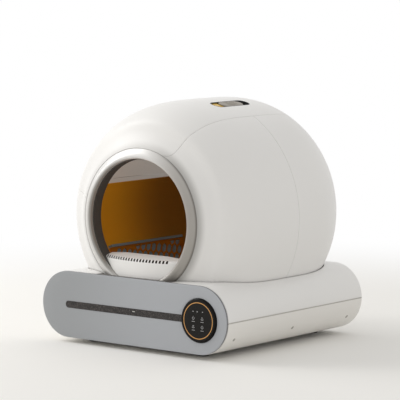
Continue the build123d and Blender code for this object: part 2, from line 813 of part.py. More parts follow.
# Ledge below the right seam of the lid, with the keeper of the latch
stem_y = slider_y
keeper_to_y = stem_y - tongue_length / 2 - keeper_clearance
ledge_inset = dome_wall + fit_gap
ledge_end_inset = ledge_inset + ledge_thickness
with BuildPart() as lid_ledge:
    ledge_arc = ledge_to_angle - ledge_from_angle
    add(dome_band(port_front_y, port_rear_y, ledge_inset, ledge_end_inset, ledge_from_angle, ledge_arc))
    keeper_arc = keeper_to_angle - ledge_from_angle
    keeper_inset = ledge_end_inset - fit_gap
    add(dome_band(keeper_to_y - keeper_length, keeper_to_y, keeper_inset, keeper_inset + ledge_thickness,
                  ledge_from_angle, keeper_arc))
lid_ledge.part.label = "lid_ledge"
export_step(lid_ledge.part, "parts/lid_ledge.step")

# Lid with its latch
with BuildPart() as lid_panel:
    lid_from_angle = lid_right_angle + seam_angle
    lid_arc = lid_left_angle - seam_angle - lid_from_angle
    add(dome_band(panel_from_y, panel_to_y, 0, dome_wall, lid_from_angle, lid_arc))
    add(ring_room, mode=Mode.SUBTRACT)
    with BuildSketch(tangent_plane(latch_angle, cup_floor_radius, latch_y)):
        SlotOverall(latch_length + 2 * cup_hole_gap, latch_width + 2 * cup_hole_gap)
    extrude(amount=2 * cup_depth, mode=Mode.SUBTRACT)
lid_panel.part.label = "lid_panel"
export_step(lid_panel.part, "parts/lid_panel.step")

latch_from_y = latch_y - latch_length
latch_to_y = latch_y + latch_length
with BuildPart() as latch_cup:
    with BuildSketch(tangent_plane(latch_angle, cup_floor_radius - cup_wall, latch_y)):
        SlotOverall(latch_length, latch_width)
    extrude(amount=cup_wall + 2 * cup_depth)
    add(dome_core(latch_from_y, latch_to_y, 0), mode=Mode.INTERSECT)
    with BuildSketch(tangent_plane(latch_angle, cup_floor_radius, latch_y)):
        SlotOverall(cup_inner_length, cup_inner_width)
    extrude(amount=2 * cup_depth, mode=Mode.SUBTRACT)
    slot_length = stem_length + slider_travel + 2 * stem_slot_gap
    with BuildSketch(tangent_plane(latch_angle, cup_floor_radius - overrun, stem_y - slider_travel / 2)):
        Rectangle(slot_length, stem_width + 2 * stem_slot_gap)
    extrude(amount=2 * overrun, mode=Mode.SUBTRACT)
latch_cup.part.label = "latch_cup"
export_step(latch_cup.part, "parts/latch_cup.step")

indicator_inset = slider_side_gap
with BuildPart() as latch_indicator:
    with BuildSketch(tangent_plane(latch_angle, cup_floor_radius, latch_y)):
        SlotOverall(cup_inner_length - 2 * indicator_inset, cup_inner_width - 2 * indicator_inset)
    extrude(amount=indicator_thickness)
    indicator_cut_y = stem_y - slider_travel / 2 - slot_length / 2
    with BuildSketch(tangent_plane(latch_angle, cup_floor_radius - overrun, indicator_cut_y + latch_length)):
        Rectangle(2 * latch_length, 2 * latch_width)
    extrude(amount=overrun + 2 * indicator_thickness, mode=Mode.SUBTRACT)
latch_indicator.part.label = "latch_indicator"
export_step(latch_indicator.part, "parts/latch_indicator.step")

slider_bottom_radius = dome_radius - slider_thickness
tongue_top_radius = cup_floor_radius - cup_wall - tongue_drop
with BuildPart() as latch_slider:
    with BuildSketch(tangent_plane(latch_angle, slider_bottom_radius, slider_y)):
        SlotOverall(slider_length, cup_inner_width - 2 * slider_side_gap)
    extrude(amount=2 * slider_thickness)
    add(dome_core(latch_from_y, latch_to_y, fit_gap), mode=Mode.INTERSECT)
    with BuildSketch(tangent_plane(latch_angle, tongue_top_radius, stem_y)):
        Rectangle(stem_length, stem_width)
    extrude(amount=slider_bottom_radius - tongue_top_radius)
    with BuildSketch(tangent_plane(latch_angle, tongue_top_radius - tongue_thickness, stem_y)):
        with Locations((0, (stem_width / 2 - tongue_reach) / 2)):
            Rectangle(tongue_length, tongue_reach + stem_width / 2)
    extrude(amount=tongue_thickness)
latch_slider.part.label = "latch_slider"
export_step(latch_slider.part, "parts/latch_slider.step")

# Hinge of the lid: two leaves with interleaved knuckles on one pin
hinge_turn = radians(lid_left_angle)
hinge_x = hinge_radius * cos(hinge_turn)
hinge_z = drum_axis_z + hinge_radius * sin(hinge_turn)
hinge_rear_y = hinge_front_y + hinge_knuckle_length * hinge_knuckle_count
leaf_inner_radius = dome_radius + fit_gap
leaf_outer_radius = leaf_inner_radius + hinge_leaf_thickness
knuckle_angle = degrees(asin((hinge_knuckle_radius + seam_gap) / hinge_radius))
leaf_angle = degrees(asin(hinge_leaf_width / hinge_radius))


def hinge_leaf(first_knuckle, side):
    # side is 1 for the leaf on the fixed panel and -1 for the leaf on the lid
    near_angle = lid_left_angle + side * knuckle_angle
    far_angle = lid_left_angle + side * leaf_angle
    with BuildPart() as leaf:
        add(turned_band(hinge_front_y, hinge_rear_y, leaf_inner_radius, leaf_outer_radius,
                        min(near_angle, far_angle), leaf_angle - knuckle_angle))
        for index in range(first_knuckle, hinge_knuckle_count, 2):
            from_y = hinge_front_y + hinge_knuckle_length * index + hinge_knuckle_gap / 2
            to_y = from_y + hinge_knuckle_length - hinge_knuckle_gap
            add(turned_band(from_y, to_y, leaf_inner_radius, leaf_outer_radius,
                            min(lid_left_angle, far_angle), leaf_angle))
            add(rod_along_y(hinge_x, hinge_z, hinge_knuckle_radius, from_y, to_y))
        add(rod_along_y(hinge_x, hinge_z, hinge_pin_radius + running_gap, hinge_front_y - overrun,
                        hinge_rear_y + overrun), mode=Mode.SUBTRACT)
    return leaf.part


with BuildPart() as hinge_fixed_leaf:
    add(hinge_leaf(0, 1))
hinge_fixed_leaf.part.label = "hinge_fixed_leaf"
export_step(hinge_fixed_leaf.part, "parts/hinge_fixed_leaf.step")

with BuildPart() as hinge_lid_leaf:
    add(hinge_leaf(1, -1))
hinge_lid_leaf.part.label = "hinge_lid_leaf"
export_step(hinge_lid_leaf.part, "parts/hinge_lid_leaf.step")

with BuildPart() as hinge_pin:
    add(rod_along_y(hinge_x, hinge_z, hinge_pin_radius, hinge_front_y, hinge_rear_y))
hinge_pin.part.label = "hinge_pin"
export_step(hinge_pin.part, "parts/hinge_pin.step")


# Drum
def drum_block(inset):
    with BuildPart() as solid:
        with BuildSketch(profile_plane(0)) as section:
            with BuildLine():
                Polyline(
                    (drum_front_y + inset, 0),
                    (drum_front_y + inset, drum_mouth_radius),
                    (drum_shoulder_y + inset, drum_radius - inset),
                    (drum_rear_y - inset, drum_radius - inset),
                    (drum_rear_y - inset, 0),
                    close=True,
                )
            make_face()
            corners = section.vertices().group_by(Axis.Y)[-1].sort_by(Axis.X)
            fillet(corners[0], radius=drum_front_round - inset)
            corners = section.vertices().group_by(Axis.Y)[-1].sort_by(Axis.X)
            fillet(corners[-1], radius=drum_rear_round - inset)
        revolve(axis=drum_axis, revolution_arc=360)
    return solid.part


def drum_hull():
    with BuildPart() as solid:
        add(drum_block(0))
        add(drum_block(drum_wall), mode=Mode.SUBTRACT)
    return solid.part


with BuildPart() as drum_shell:
    add(drum_hull())
    mouth_radius = drum_mouth_radius + drum_wall
    add(turned_band(drum_lip_y, drum_front_y + drum_wall, 0, mouth_radius))
    add(turned_band(drum_lip_y - overrun, drum_shoulder_y, 0, drum_mouth_radius), mode=Mode.SUBTRACT)
    port_arc = port_to_angle - port_from_angle
    add(turned_band(port_front_y, port_rear_y, drum_inner_radius - overrun, drum_radius + overrun,
                    port_from_angle, port_arc), mode=Mode.SUBTRACT)
    split(bisect_by=front_plane(drum_split_y), keep=Keep.TOP)
drum_shell.part.label = "drum_shell"
export_step(drum_shell.part, "parts/drum_shell.step")

with BuildPart() as drum_rear_cap:
    add(drum_hull())
    split(bisect_by=front_plane(drum_split_y), keep=Keep.BOTTOM)
drum_rear_cap.part.label = "drum_rear_cap"
export_step(drum_rear_cap.part, "parts/drum_rear_cap.step")

with BuildPart() as front_track:
    half = front_track_width / 2
    add(turned_band(front_track_y - half, front_track_y + half, drum_radius, track_radius))
front_track.part.label = "front_track"
export_step(front_track.part, "parts/front_track.step")

with BuildPart() as rear_track:
    half = rear_track_width / 2
    add(turned_band(rear_track_y - half, rear_track_y + half, drum_radius, track_radius))
rear_track.part.label = "rear_track"
export_step(rear_track.part, "parts/rear_track.step")

# Sieve
seat_radius = drum_inner_radius - sieve_seat_gap
sieve_arc = sieve_to_angle - sieve_from_angle
sieve_outer_radius = sieve_radius + sieve_thickness
hole_side = sieve_hole_width / 2
hole_tip = sieve_hole_length / 2
window_length = sieve_rear_y - sieve_front_y - 2 * (sieve_rib + sieve_frame)
window_width = 2 * sieve_radius * sin(radians(sieve_arc / 2)) - 2 * sieve_frame


def leaning(along, height):
    # a point of the hole pattern, whose rows drop and whose holes lean towards the rear
    return (along + sieve_hole_lean * height, sieve_row_lean * along - height)


hole_corners = [(hole_side, hole_tip / 2), (0, hole_tip), (-hole_side, hole_tip / 2)]
hole_corners += [(-hole_side, -hole_tip / 2), (0, -hole_tip), (hole_side, -hole_tip / 2)]
sieve_hole_outline = [leaning(along, height) for along, height in hole_corners]
sieve_hole_places = []
for row in range(-sieve_row_reach, sieve_row_reach + 1):
    for column in range(-sieve_column_reach, sieve_column_reach + 1):
        along = sieve_hole_pitch * (column + row % 2 / 2) - sieve_hole_lean * sieve_row_pitch * row
        place = leaning(along, sieve_row_pitch * row)
        inside_length = abs(place[0]) < window_length / 2 + sieve_hole_overlap
        if inside_length and abs(place[1]) < window_width / 2 + sieve_hole_overlap:
            sieve_hole_places.append(place)
with BuildPart() as sieve_plate:
    add(turned_band(sieve_front_y, sieve_rear_y, sieve_radius, sieve_outer_radius,
                    sieve_from_angle, sieve_arc))
    for y in (sieve_front_y, sieve_rear_y - sieve_rib):
        add(turned_band(y, y + sieve_rib, sieve_radius, seat_radius, sieve_from_angle, sieve_arc))
    middle_y = (sieve_front_y + sieve_rear_y) / 2
    middle_angle = (sieve_from_angle + sieve_to_angle) / 2
    hole_from_radius = sieve_radius * cos(radians(sieve_arc / 2)) - overrun
    with BuildSketch(tangent_plane(middle_angle, hole_from_radius, middle_y)):
        with Locations(*sieve_hole_places):
            Polygon(*sieve_hole_outline, align=None)
        Rectangle(window_length, window_width, mode=Mode.INTERSECT)
    extrude(amount=sieve_outer_radius + overrun - hole_from_radius, mode=Mode.SUBTRACT)
sieve_plate.part.label = "sieve_plate"
export_step(sieve_plate.part, "parts/sieve_plate.step")

with BuildPart() as sieve_mat:
    mat_front_y = sieve_front_y + sieve_rib + mat_margin
    mat_rear_y = sieve_rear_y - sieve_rib - mat_margin
    mat_inner_radius = sieve_outer_radius + fit_gap
    add(turned_band(mat_front_y, mat_rear_y, mat_inner_radius, seat_radius, sieve_from_angle, sieve_arc))
sieve_mat.part.label = "sieve_mat"
export_step(sieve_mat.part, "parts/sieve_mat.step")

with BuildPart() as sieve_bar:
    bar_arc = sieve_from_angle - sieve_bar_angle
    bar_inner_radius = sieve_radius - sieve_bar_height
    add(turned_band(sieve_front_y, sieve_rear_y, bar_inner_radius, seat_radius, sieve_bar_angle, bar_arc))
sieve_bar.part.label = "sieve_bar"
export_step(sieve_bar.part, "parts/sieve_bar.step")


# Gears
def gear_outline(teeth, pitch_radius, root_drop, tip_rise, first_angle):
    # straight-sided teeth: one tooth is centred on first_angle
    pitch = 2 * pi * pitch_radius / teeth
    root_half = pitch * tooth_root_share / 2
    tip_half = pitch * tooth_tip_share / 2
    root_radius = pitch_radius - root_drop
    tip_radius = pitch_radius + tip_rise
    points = []
    for tooth in range(teeth):
        middle = radians(first_angle) + 2 * pi * tooth / teeth
        for radius, half in ((root_radius, -root_half), (tip_radius, -tip_half), (tip_radius, tip_half),
                             (root_radius, root_half)):
            turn = middle + half / pitch_radius
            points.append((radius * cos(turn), radius * sin(turn)))
    return points


gear_rear_y = gear_front_y + gear_width
ring_first_angle = pinion_angle + 180 / ring_teeth
with BuildPart() as gear_ring:
    with BuildSketch(front_plane(gear_rear_y)):
        with Locations((0, drum_axis_z)):
            Polygon(*gear_outline(ring_teeth, ring_pitch_radius, ring_root_drop, ring_tip_rise,
                                  ring_first_angle), align=None)
            Circle(drum_radius, mode=Mode.SUBTRACT)
    extrude(amount=gear_width)
gear_ring.part.label = "gear_ring"
export_step(gear_ring.part, "parts/gear_ring.step")

pinion_first_angle = pinion_angle + 180
with BuildPart() as drive_pinion:
    with BuildSketch(front_plane(gear_rear_y)):
        with Locations((pinion_x, pinion_z)):
            Polygon(*gear_outline(pinion_teeth, pinion_pitch_radius, pinion_root_drop, pinion_tip_rise,
                                  pinion_first_angle), align=None)
            Circle(pinion_shaft_radius, mode=Mode.SUBTRACT)
    extrude(amount=gear_width)
drive_pinion.part.label = "drive_pinion"
export_step(drive_pinion.part, "parts/drive_pinion.step")

gearbox_front_y = bracket_front_y + bracket_thickness
with BuildPart() as pinion_shaft:
    shaft_rear_y = gearbox_front_y + gearbox_shaft_depth - fit_gap
    add(rod_along_y(pinion_x, pinion_z, pinion_shaft_radius, gear_front_y, shaft_rear_y))
pinion_shaft.part.label = "pinion_shaft"
export_step(pinion_shaft.part, "parts/pinion_shaft.step")

with BuildPart() as home_magnet:
    magnet_turn = radians(magnet_angle)
    magnet_path_radius = ring_pitch_radius - magnet_radius
    magnet_x = magnet_path_radius * cos(magnet_turn)
    magnet_z = drum_axis_z + magnet_path_radius * sin(magnet_turn)
    add(rod_along_y(magnet_x, magnet_z, magnet_radius, gear_rear_y, gear_rear_y + magnet_thickness))
home_magnet.part.label = "home_magnet"
export_step(home_magnet.part, "parts/home_magnet.step")

# Drive
with BuildPart() as motor_bracket:
    add(block(bracket_left_x, bracket_right_x, bracket_front_y, gearbox_front_y, floor_z, bracket_top_z))
    foot_rear = bracket_front_y + bracket_foot_depth
    add(block(bracket_left_x, bracket_right_x, bracket_front_y, foot_rear,
              floor_z, floor_z + bracket_thickness))
    hole_radius = pinion_shaft_radius + bracket_shaft_clearance
    hole = rod_along_y(pinion_x, pinion_z, hole_radius, bracket_front_y - overrun, gearbox_front_y + overrun)
    add(hole, mode=Mode.SUBTRACT)
motor_bracket.part.label = "motor_bracket"
export_step(motor_bracket.part, "parts/motor_bracket.step")

gearbox_rear_y = gearbox_front_y + gearbox_depth
with BuildPart() as gearbox:
    add(rod_along_y(pinion_x, pinion_z, gearbox_radius, gearbox_front_y, gearbox_rear_y))
    shaft_hole_radius = pinion_shaft_radius + running_gap
    hole_rear_y = gearbox_front_y + gearbox_shaft_depth
    hole = rod_along_y(pinion_x, pinion_z, shaft_hole_radius, gearbox_front_y - overrun, hole_rear_y)
    add(hole, mode=Mode.SUBTRACT)
gearbox.part.label = "gearbox"
export_step(gearbox.part, "parts/gearbox.step")

with BuildPart() as motor:
    add(rod_along_y(pinion_x, pinion_z, motor_radius, gearbox_rear_y, gearbox_rear_y + motor_depth))
motor.part.label = "motor"
export_step(motor.part, "parts/motor.step")

with BuildPart() as home_sensor:
    sensor_left_x = bracket_left_x + fit_gap
    sensor_top_z = bracket_top_z - fit_gap
    add(block(sensor_left_x, sensor_left_x + sensor_size, bracket_front_y - sensor_thickness, bracket_front_y,
              sensor_top_z - sensor_size, sensor_top_z))
home_sensor.part.label = "home_sensor"
export_step(home_sensor.part, "parts/home_sensor.step")

# Rollers and their axles
with BuildPart() as roller_axles:
    for _, x in roller_sides:
        for _, y in roller_places:
            reach = cheek_reach + cheek_thickness
            add(rod_along_y(x, roller_z, axle_radius, y - reach, y + reach))
roller_axles.part.label = "roller_axles"
export_step(roller_axles.part, "parts/roller_axles.step")

for end, y in roller_places:
    for side, x in roller_sides:
        with BuildPart() as roller:
            add(rod_along_y(x, roller_z, roller_radius, y - roller_width / 2, y + roller_width / 2))
            add(rod_along_y(x, roller_z, axle_radius + running_gap, y - roller_width, y + roller_width),
                mode=Mode.SUBTRACT)
        roller.part.label = f"roller_{end}_{side}"
        export_step(roller.part, f"parts/roller_{end}_{side}.step")

# Display
display_x = end_centre_x
display_z = base_middle_z
housing_rear_y = frame_rear_y - frame_thickness - fit_gap
lens_front_y = display_face_y + fit_gap
lens_rear_y = lens_front_y + lens_thickness
cavity_front_y = lens_rear_y + display_wall
with BuildPart() as display_housing:
    add(rod_along_y(display_x, display_z, display_radius, display_face_y, housing_rear_y))
    fillet(display_housing.faces().sort_by(Axis.Y)[0].edges(), radius=display_edge_round)
    seat_hole_radius = lens_radius + running_gap
    seat_hole = rod_along_y(display_x, display_z, seat_hole_radius, display_face_y - overrun, lens_rear_y)
    add(seat_hole, mode=Mode.SUBTRACT)
    cavity_radius = display_radius - display_wall
    cavity = rod_along_y(display_x, display_z, cavity_radius, cavity_front_y, housing_rear_y + overrun)
    add(cavity, mode=Mode.SUBTRACT)
display_housing.part.label = "display_housing"
export_step(display_housing.part, "parts/display_housing.step")


def display_annulus(y_from, y_to):
    with BuildPart() as solid:
        with BuildSketch(front_plane(y_to)):
            with Locations((display_x, display_z)):
                Circle(light_ring_radius + light_ring_width / 2)
                Circle(light_ring_radius - light_ring_width / 2, mode=Mode.SUBTRACT)
        extrude(amount=y_to - y_from)
    return solid.part


with BuildPart() as display_lens:
    add(rod_along_y(display_x, display_z, lens_radius, lens_front_y, lens_rear_y))
    groove = display_annulus(lens_front_y - overrun, lens_front_y + light_ring_thickness)
    add(groove, mode=Mode.SUBTRACT)
display_lens.part.label = "display_lens"
export_step(display_lens.part, "parts/display_lens.step")

with BuildPart() as display_light_ring:
    add(display_annulus(lens_front_y, lens_front_y + light_ring_thickness))
display_light_ring.part.label = "display_light_ring"
export_step(display_light_ring.part, "parts/display_light_ring.step")

with BuildPart() as display_board:
    board_y = cavity_front_y + fit_gap
    add(rod_along_y(display_x, display_z, display_board_radius, board_y, board_y + board_thickness))
display_board.part.label = "display_board"
export_step(display_board.part, "parts/display_board.step")

# Drawer front, which is the whole front panel
hole_radius = display_radius + display_hole_gap
with BuildPart() as drawer_front:
    add(base_block(panel_inset, panel_front_y, panel_rear_y))
    fillet(drawer_front.faces().sort_by(Axis.Y)[0].edges(), radius=panel_edge_round)
    hole = rod_along_y(display_x, display_z, hole_radius, panel_front_y - overrun, panel_rear_y + overrun)
    add(hole, mode=Mode.SUBTRACT)
drawer_front.part.label = "drawer_front"
export_step(drawer_front.part, "parts/drawer_front.step")

with BuildPart() as accent_strip:
    strip_length = display_x - strip_left_x
    with BuildSketch(front_plane(panel_front_y)):
        with Locations(((strip_left_x + display_x) / 2, strip_middle_z)):
            SlotOverall(strip_length, strip_height)
        with Locations((display_x, display_z)):
            Circle(hole_radius, mode=Mode.SUBTRACT)
    extrude(amount=strip_thickness)
accent_strip.part.label = "accent_strip"
export_step(accent_strip.part, "parts/accent_strip.step")

with BuildPart() as strip_light:
    with BuildSketch(front_plane(panel_front_y - strip_thickness)):
        with Locations((strip_light_x, strip_light_z)):
            SlotOverall(strip_light_length, strip_light_height)
    extrude(amount=strip_light_thickness)
strip_light.part.label = "strip_light"
export_step(strip_light.part, "parts/strip_light.step")


def tray_block(inset, z_from, z_to):
    with BuildPart() as solid:
        with BuildSketch(Plane.XY.offset(z_from)):
            with Locations(((tray_left_x + tray_right_x) / 2, (tray_front_y + tray_rear_y) / 2)):
                across = tray_right_x - tray_left_x - 2 * inset
                deep = tray_rear_y - tray_front_y - 2 * inset
                RectangleRounded(across, deep, tray_corner_round - inset)
        extrude(amount=z_to - z_from)
    return solid.part


with BuildPart() as drawer_tray:
    add(tray_block(0, tray_bottom_z, tray_top_z))
    fillet(drawer_tray.faces().sort_by(Axis.Z)[0].edges(), radius=tray_floor_round)
    add(tray_block(tray_wall, tray_bottom_z + tray_wall, tray_top_z + overrun), mode=Mode.SUBTRACT)
    add(block(bridge_left_x, bridge_right_x, panel_rear_y, tray_front_y, bridge_bottom_z, bridge_top_z))
drawer_tray.part.label = "drawer_tray"
export_step(drawer_tray.part, "parts/drawer_tray.step")

with BuildPart() as bag_ring:
    add(tray_block(-bag_ring_overhang, tray_top_z, tray_top_z + bag_ring_height))
    mouth = tray_block(bag_ring_width, tray_top_z - overrun, tray_top_z + bag_ring_height + overrun)
    add(mouth, mode=Mode.SUBTRACT)
bag_ring.part.label = "bag_ring"
export_step(bag_ring.part, "parts/bag_ring.step")

with BuildPart() as drawer_rails:
    for x in rail_places:
        add(block(x - rail_width / 2, x + rail_width / 2, tray_front_y, tray_rear_y,
                  floor_z, tray_bottom_z - fit_gap))
drawer_rails.part.label = "drawer_rails"
export_step(drawer_rails.part, "parts/drawer_rails.step")

# Control board and power inlet
control_z = floor_z + control_rise
with BuildPart() as control_board:
    board_top_z = control_z + board_thickness
    add(block(control_left_x, control_right_x, control_front_y, control_rear_y, control_z, board_top_z))
    middle_x = (control_left_x + control_right_x) / 2
    middle_y = (control_front_y + control_rear_y) / 2
    with Locations((middle_x, middle_y, board_top_z + chip_height / 2)):
        Box(chip_width, chip_width, chip_height)
    for y in (control_front_y + chip_width, control_rear_y - chip_width):
        add(rod(Plane(origin=(middle_x, y, board_top_z)), capacitor_radius, capacitor_height))
control_board.part.label = "control_board"
export_step(control_board.part, "parts/control_board.step")

with BuildPart() as power_inlet:
    add(rod_along_y(inlet_x, inlet_z, inlet_radius, base_rear_y - inlet_depth, base_rear_y))
    bore_front_y = base_rear_y - inlet_bore_depth
    bore = rod_along_y(inlet_x, inlet_z, inlet_bore_radius, bore_front_y, base_rear_y + overrun)
    add(bore, mode=Mode.SUBTRACT)
    add(rod_along_y(inlet_x, inlet_z, inlet_pin_radius, bore_front_y, base_rear_y - inlet_pin_radius))
power_inlet.part.label = "power_inlet"
export_step(power_inlet.part, "parts/power_inlet.step")
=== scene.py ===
import bpy
import json
import numpy as np
from math import cos, pi, radians, sin, sqrt
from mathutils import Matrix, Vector


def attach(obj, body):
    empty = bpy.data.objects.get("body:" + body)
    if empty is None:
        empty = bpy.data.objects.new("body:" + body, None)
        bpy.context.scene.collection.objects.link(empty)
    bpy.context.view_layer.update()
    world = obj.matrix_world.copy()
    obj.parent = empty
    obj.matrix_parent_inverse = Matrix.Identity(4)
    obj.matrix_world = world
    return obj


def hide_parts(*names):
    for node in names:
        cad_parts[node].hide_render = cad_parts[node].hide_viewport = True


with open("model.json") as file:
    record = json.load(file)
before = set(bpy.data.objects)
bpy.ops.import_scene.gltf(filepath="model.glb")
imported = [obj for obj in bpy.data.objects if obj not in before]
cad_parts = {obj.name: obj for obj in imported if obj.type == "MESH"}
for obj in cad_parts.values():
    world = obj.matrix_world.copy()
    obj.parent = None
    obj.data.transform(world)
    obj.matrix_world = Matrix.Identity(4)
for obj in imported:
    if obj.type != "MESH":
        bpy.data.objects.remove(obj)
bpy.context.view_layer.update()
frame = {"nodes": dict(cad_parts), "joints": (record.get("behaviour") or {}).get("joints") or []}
mm = 0.001
jointByName = {joint["name"]: joint for joint in frame["joints"]}
axisZ = jointByName["drum_turn"]["pos_m"][2] / mm  # the dome, the ring and the drum share this axis
base = {"width": 560, "bottom": 12, "top": 171, "panelFront": -263, "panelRear": -259, "displayFace": -268}
base["middle"] = (base["bottom"] + base["top"]) / 2
base["endRadius"] = (base["top"] - base["bottom"]) / 2
base["endCentre"] = base["width"] / 2 - base["endRadius"]
print("frame loaded,", len(frame["nodes"]), "nodes")


# Shader maths


class Value:
    # a socket that takes part in plain expressions
    def __init__(self, finish, socket):
        self.finish = finish
        self.socket = socket

    def __add__(self, other):
        return self.finish.maths("ADD", self, other)

    def __sub__(self, other):
        return self.finish.maths("SUBTRACT", self, other)

    def __rsub__(self, other):
        return self.finish.maths("SUBTRACT", other, self)

    def __mul__(self, other):
        return self.finish.maths("MULTIPLY", self, other)

    __radd__ = __add__
    __rmul__ = __mul__


class Finish:
    # a material whose nodes all come from one method
    def __init__(self, name):
        self.material = bpy.data.materials.new(name)
        self.material.use_nodes = True
        self.tree = self.material.node_tree
        self.tree.nodes.clear()
        self.place = self.node("ShaderNodeTexCoord", {}, {}, "Object")

    def node(self, kind, settings, inputs, output=0):
        made = self.tree.nodes.new(kind)
        for key, value in settings.items():
            setattr(made, key, value)
        for key, value in inputs.items():
            if isinstance(value, Value):
                self.tree.links.new(value.socket, made.inputs[key])
            else:
                made.inputs[key].default_value = value
        if not made.outputs:
            return None
        return Value(self, made.outputs[output])

    def maths(self, operation, first, second):
        return self.node("ShaderNodeMath", {"operation": operation}, {0: first, 1: second})

    def vectors(self, operation, first, second):
        return self.node("ShaderNodeVectorMath", {"operation": operation}, {0: first, 1: second})

    def length(self, vector):
        return self.node("ShaderNodeVectorMath", {"operation": "LENGTH"}, {0: vector}, "Value")

    def stretched(self, factors):
        return self.vectors("MULTIPLY", self.place, factors)

    def part(self, axis):
        return self.node("ShaderNodeSeparateXYZ", {}, {0: self.place}, axis)

    def noise(self, scale, detail=2, place=None):
        inputs = {"Vector": place or self.place, "Scale": scale, "Detail": detail}
        return self.node("ShaderNodeTexNoise", {}, inputs)

    def step(self, value, low, high):
        # 0 below low, 1 above high, smooth between
        inputs = {"Value": value, "From Min": low, "From Max": high}
        return self.node("ShaderNodeMapRange", {"interpolation_type": "SMOOTHSTEP"}, inputs)

    def blend(self, share, first, second, kind="MIX"):
        first = first if isinstance(first, Value) else (*first, 1)
        second = second if isinstance(second, Value) else (*second, 1)
        settings = {"data_type": "RGBA", "blend_type": kind}
        return self.node("ShaderNodeMix", settings, {0: share, 6: first, 7: second}, 2)

    def shaded(self, colour, shade):
        # painted shade: a soft darkening tint that grows along an axis or with the distance from the dome's
        # axis, in metres;
        # a side (along X) and a depth range (along Y) can limit it
        if shade["over"] == "radius":
            centred = self.vectors("SUBTRACT", self.place, (0, 0, axisZ * mm))
            place = self.length(self.vectors("MULTIPLY", centred, (1, 0, 1)))
        else:
            place = self.part("xyz".index(shade["over"]))
        share = self.step(place, shade["from"], shade["to"])
        if "side" in shade:
            share = share * self.step(self.part(0), *shade["side"])
        if "depth" in shade:
            share = share * self.step(self.part(1), *shade["depth"])
        return self.blend(share, colour, self.blend(1.0, colour, shade["tint"], "MULTIPLY"))

    def bump(self, height, distance):
        return self.node("ShaderNodeBump", {}, {"Height": height, "Distance": distance})

    def end(self, inputs):
        shader = self.node("ShaderNodeBsdfPrincipled", {}, inputs)
        self.node("ShaderNodeOutputMaterial", {}, {"Surface": shader})
        return self.material


def scaled(colour, factor):
    return tuple(part * factor for part in colour)


def sway(noise, amount):
    # the noise about its middle, as something to add
    return (noise - 0.5) * amount


# what a moulded finish has unless its own values say otherwise
plastic = {
    "cloudScale": 6, "cloudRoughness": 0.1, "drift": 0.96, "paintedShades": (),
    "grainScale": 1100, "grainRoughness": 0.14, "grainDepth": 0.00003,
    "speckScale": 260, "speckRange": (0.68, 0.75), "speckShare": 0.06, "speckTint": 0.7,
    "metallic": 0, "coat": 0, "coatRoughness": 0.15, "specular": 0.5, "glowStrength": 0,
}


def moulded(name, values):
    # moulded plastic: the colour drifts slowly, and a fine spark-eroded grain breaks up the gloss
    values = plastic | values
    made = Finish(name)
    cloud = made.noise(values["cloudScale"], 3)
    grain = made.noise(values["grainScale"])
    speck = made.step(made.noise(values["speckScale"], 1), *values["speckRange"])
    colour = made.blend(cloud, values["colour"], scaled(values["colour"], values["drift"]))
    speckColour = scaled(values["colour"], values["speckTint"])
    colour = made.blend(speck * values["speckShare"], colour, speckColour)
    # painted shade: each entry darkens the colour over a stretch where shade falls
    for shade in values["paintedShades"]:
        colour = made.shaded(colour, shade)
    inputs = {
        "Base Color": colour,
        "Roughness": (values["roughness"] + sway(grain, values["grainRoughness"])
                      + sway(cloud, values["cloudRoughness"])),
        "Normal": made.bump(grain, values["grainDepth"]),
        "Metallic": values["metallic"],
        "Coat Weight": values["coat"],
        "Coat Roughness": values["coatRoughness"],
        "Specular IOR Level": values["specular"],
        # the glow is a lamp's light on the display's lights and marks and on the strip's light, and painted
        # light on the lip, the dome's inner face, the mat and the amber tab
        "Emission Color": (*values["glow"], 1) if "glow" in values else colour,
        "Emission Strength": values["glowStrength"],
    }
    return made.end(inputs)


# the same for a brushed finish
metal = {"stainScale": 40, "stainTint": 0.8, "lineRoughness": 0.25, "lineDepth": 0.00002, "metallic": 1}


def brushed(name, values):
    # metal with fine lines along one direction
    values = metal | values
    made = Finish(name)
    lines = made.noise(1, 3, made.stretched(values["lines"]))
    stain = made.noise(values["stainScale"], 3)
    inputs = {
        "Base Color": made.blend(stain, values["colour"], scaled(values["colour"], values["stainTint"])),
        "Roughness": values["roughness"] + sway(lines, values["lineRoughness"]),
        "Normal": made.bump(lines, values["lineDepth"]),
        "Metallic": values["metallic"],
    }
    return made.end(inputs)


def speckled(name, values):
    # dark fabric-like strip: coarse and fine grains in three browns
    made = Finish(name)
    coarse = made.noise(values["coarseScale"])
    fine = made.noise(values["fineScale"])
    colour = made.blend(made.step(coarse, *values["coarseRange"]), values["dark"], values["middle"])
    fineShare = made.step(fine, *values["fineRange"]) * values["fineShare"]
    inputs = {
        "Base Color": made.blend(fineShare, colour, values["light"]),
        "Roughness": values["roughness"] + sway(fine, values["fineRoughness"]),
        "Normal": made.bump(coarse * values["coarseHeight"] + fine * values["fineHeight"], values["depth"]),
    }
    return made.end(inputs)


def litTub(name, values):
    # the drum wall: light enters at its front, so the colour runs from bright to deep along the wall
    made = Finish(name)
    along = made.step(made.part(1), values["frontY"], values["rearY"])
    cloud = made.noise(values["cloudScale"], 3)
    grain = made.noise(values["grainScale"])
    scuff = made.step(made.noise(1, 4, made.stretched(values["scuffStretch"])), *values["scuffRange"])
    colour = made.blend(along, values["frontColour"], values["rearColour"])
    cloudColour = scaled(values["rearColour"], values["cloudTint"])
    colour = made.blend(cloud * values["cloudShare"], colour, cloudColour)
    inputs = {
        "Base Color": colour,
        "Roughness": (values["roughness"] + scuff * values["scuffRoughness"]
                      + sway(grain, values["grainRoughness"])),
        "Normal": made.bump(grain, values["grainDepth"]),
        # painted light: the wall glows faintly in its own colour
        "Emission Color": colour,
        "Emission Strength": values["glowStrength"],
    }
    return made.end(inputs)


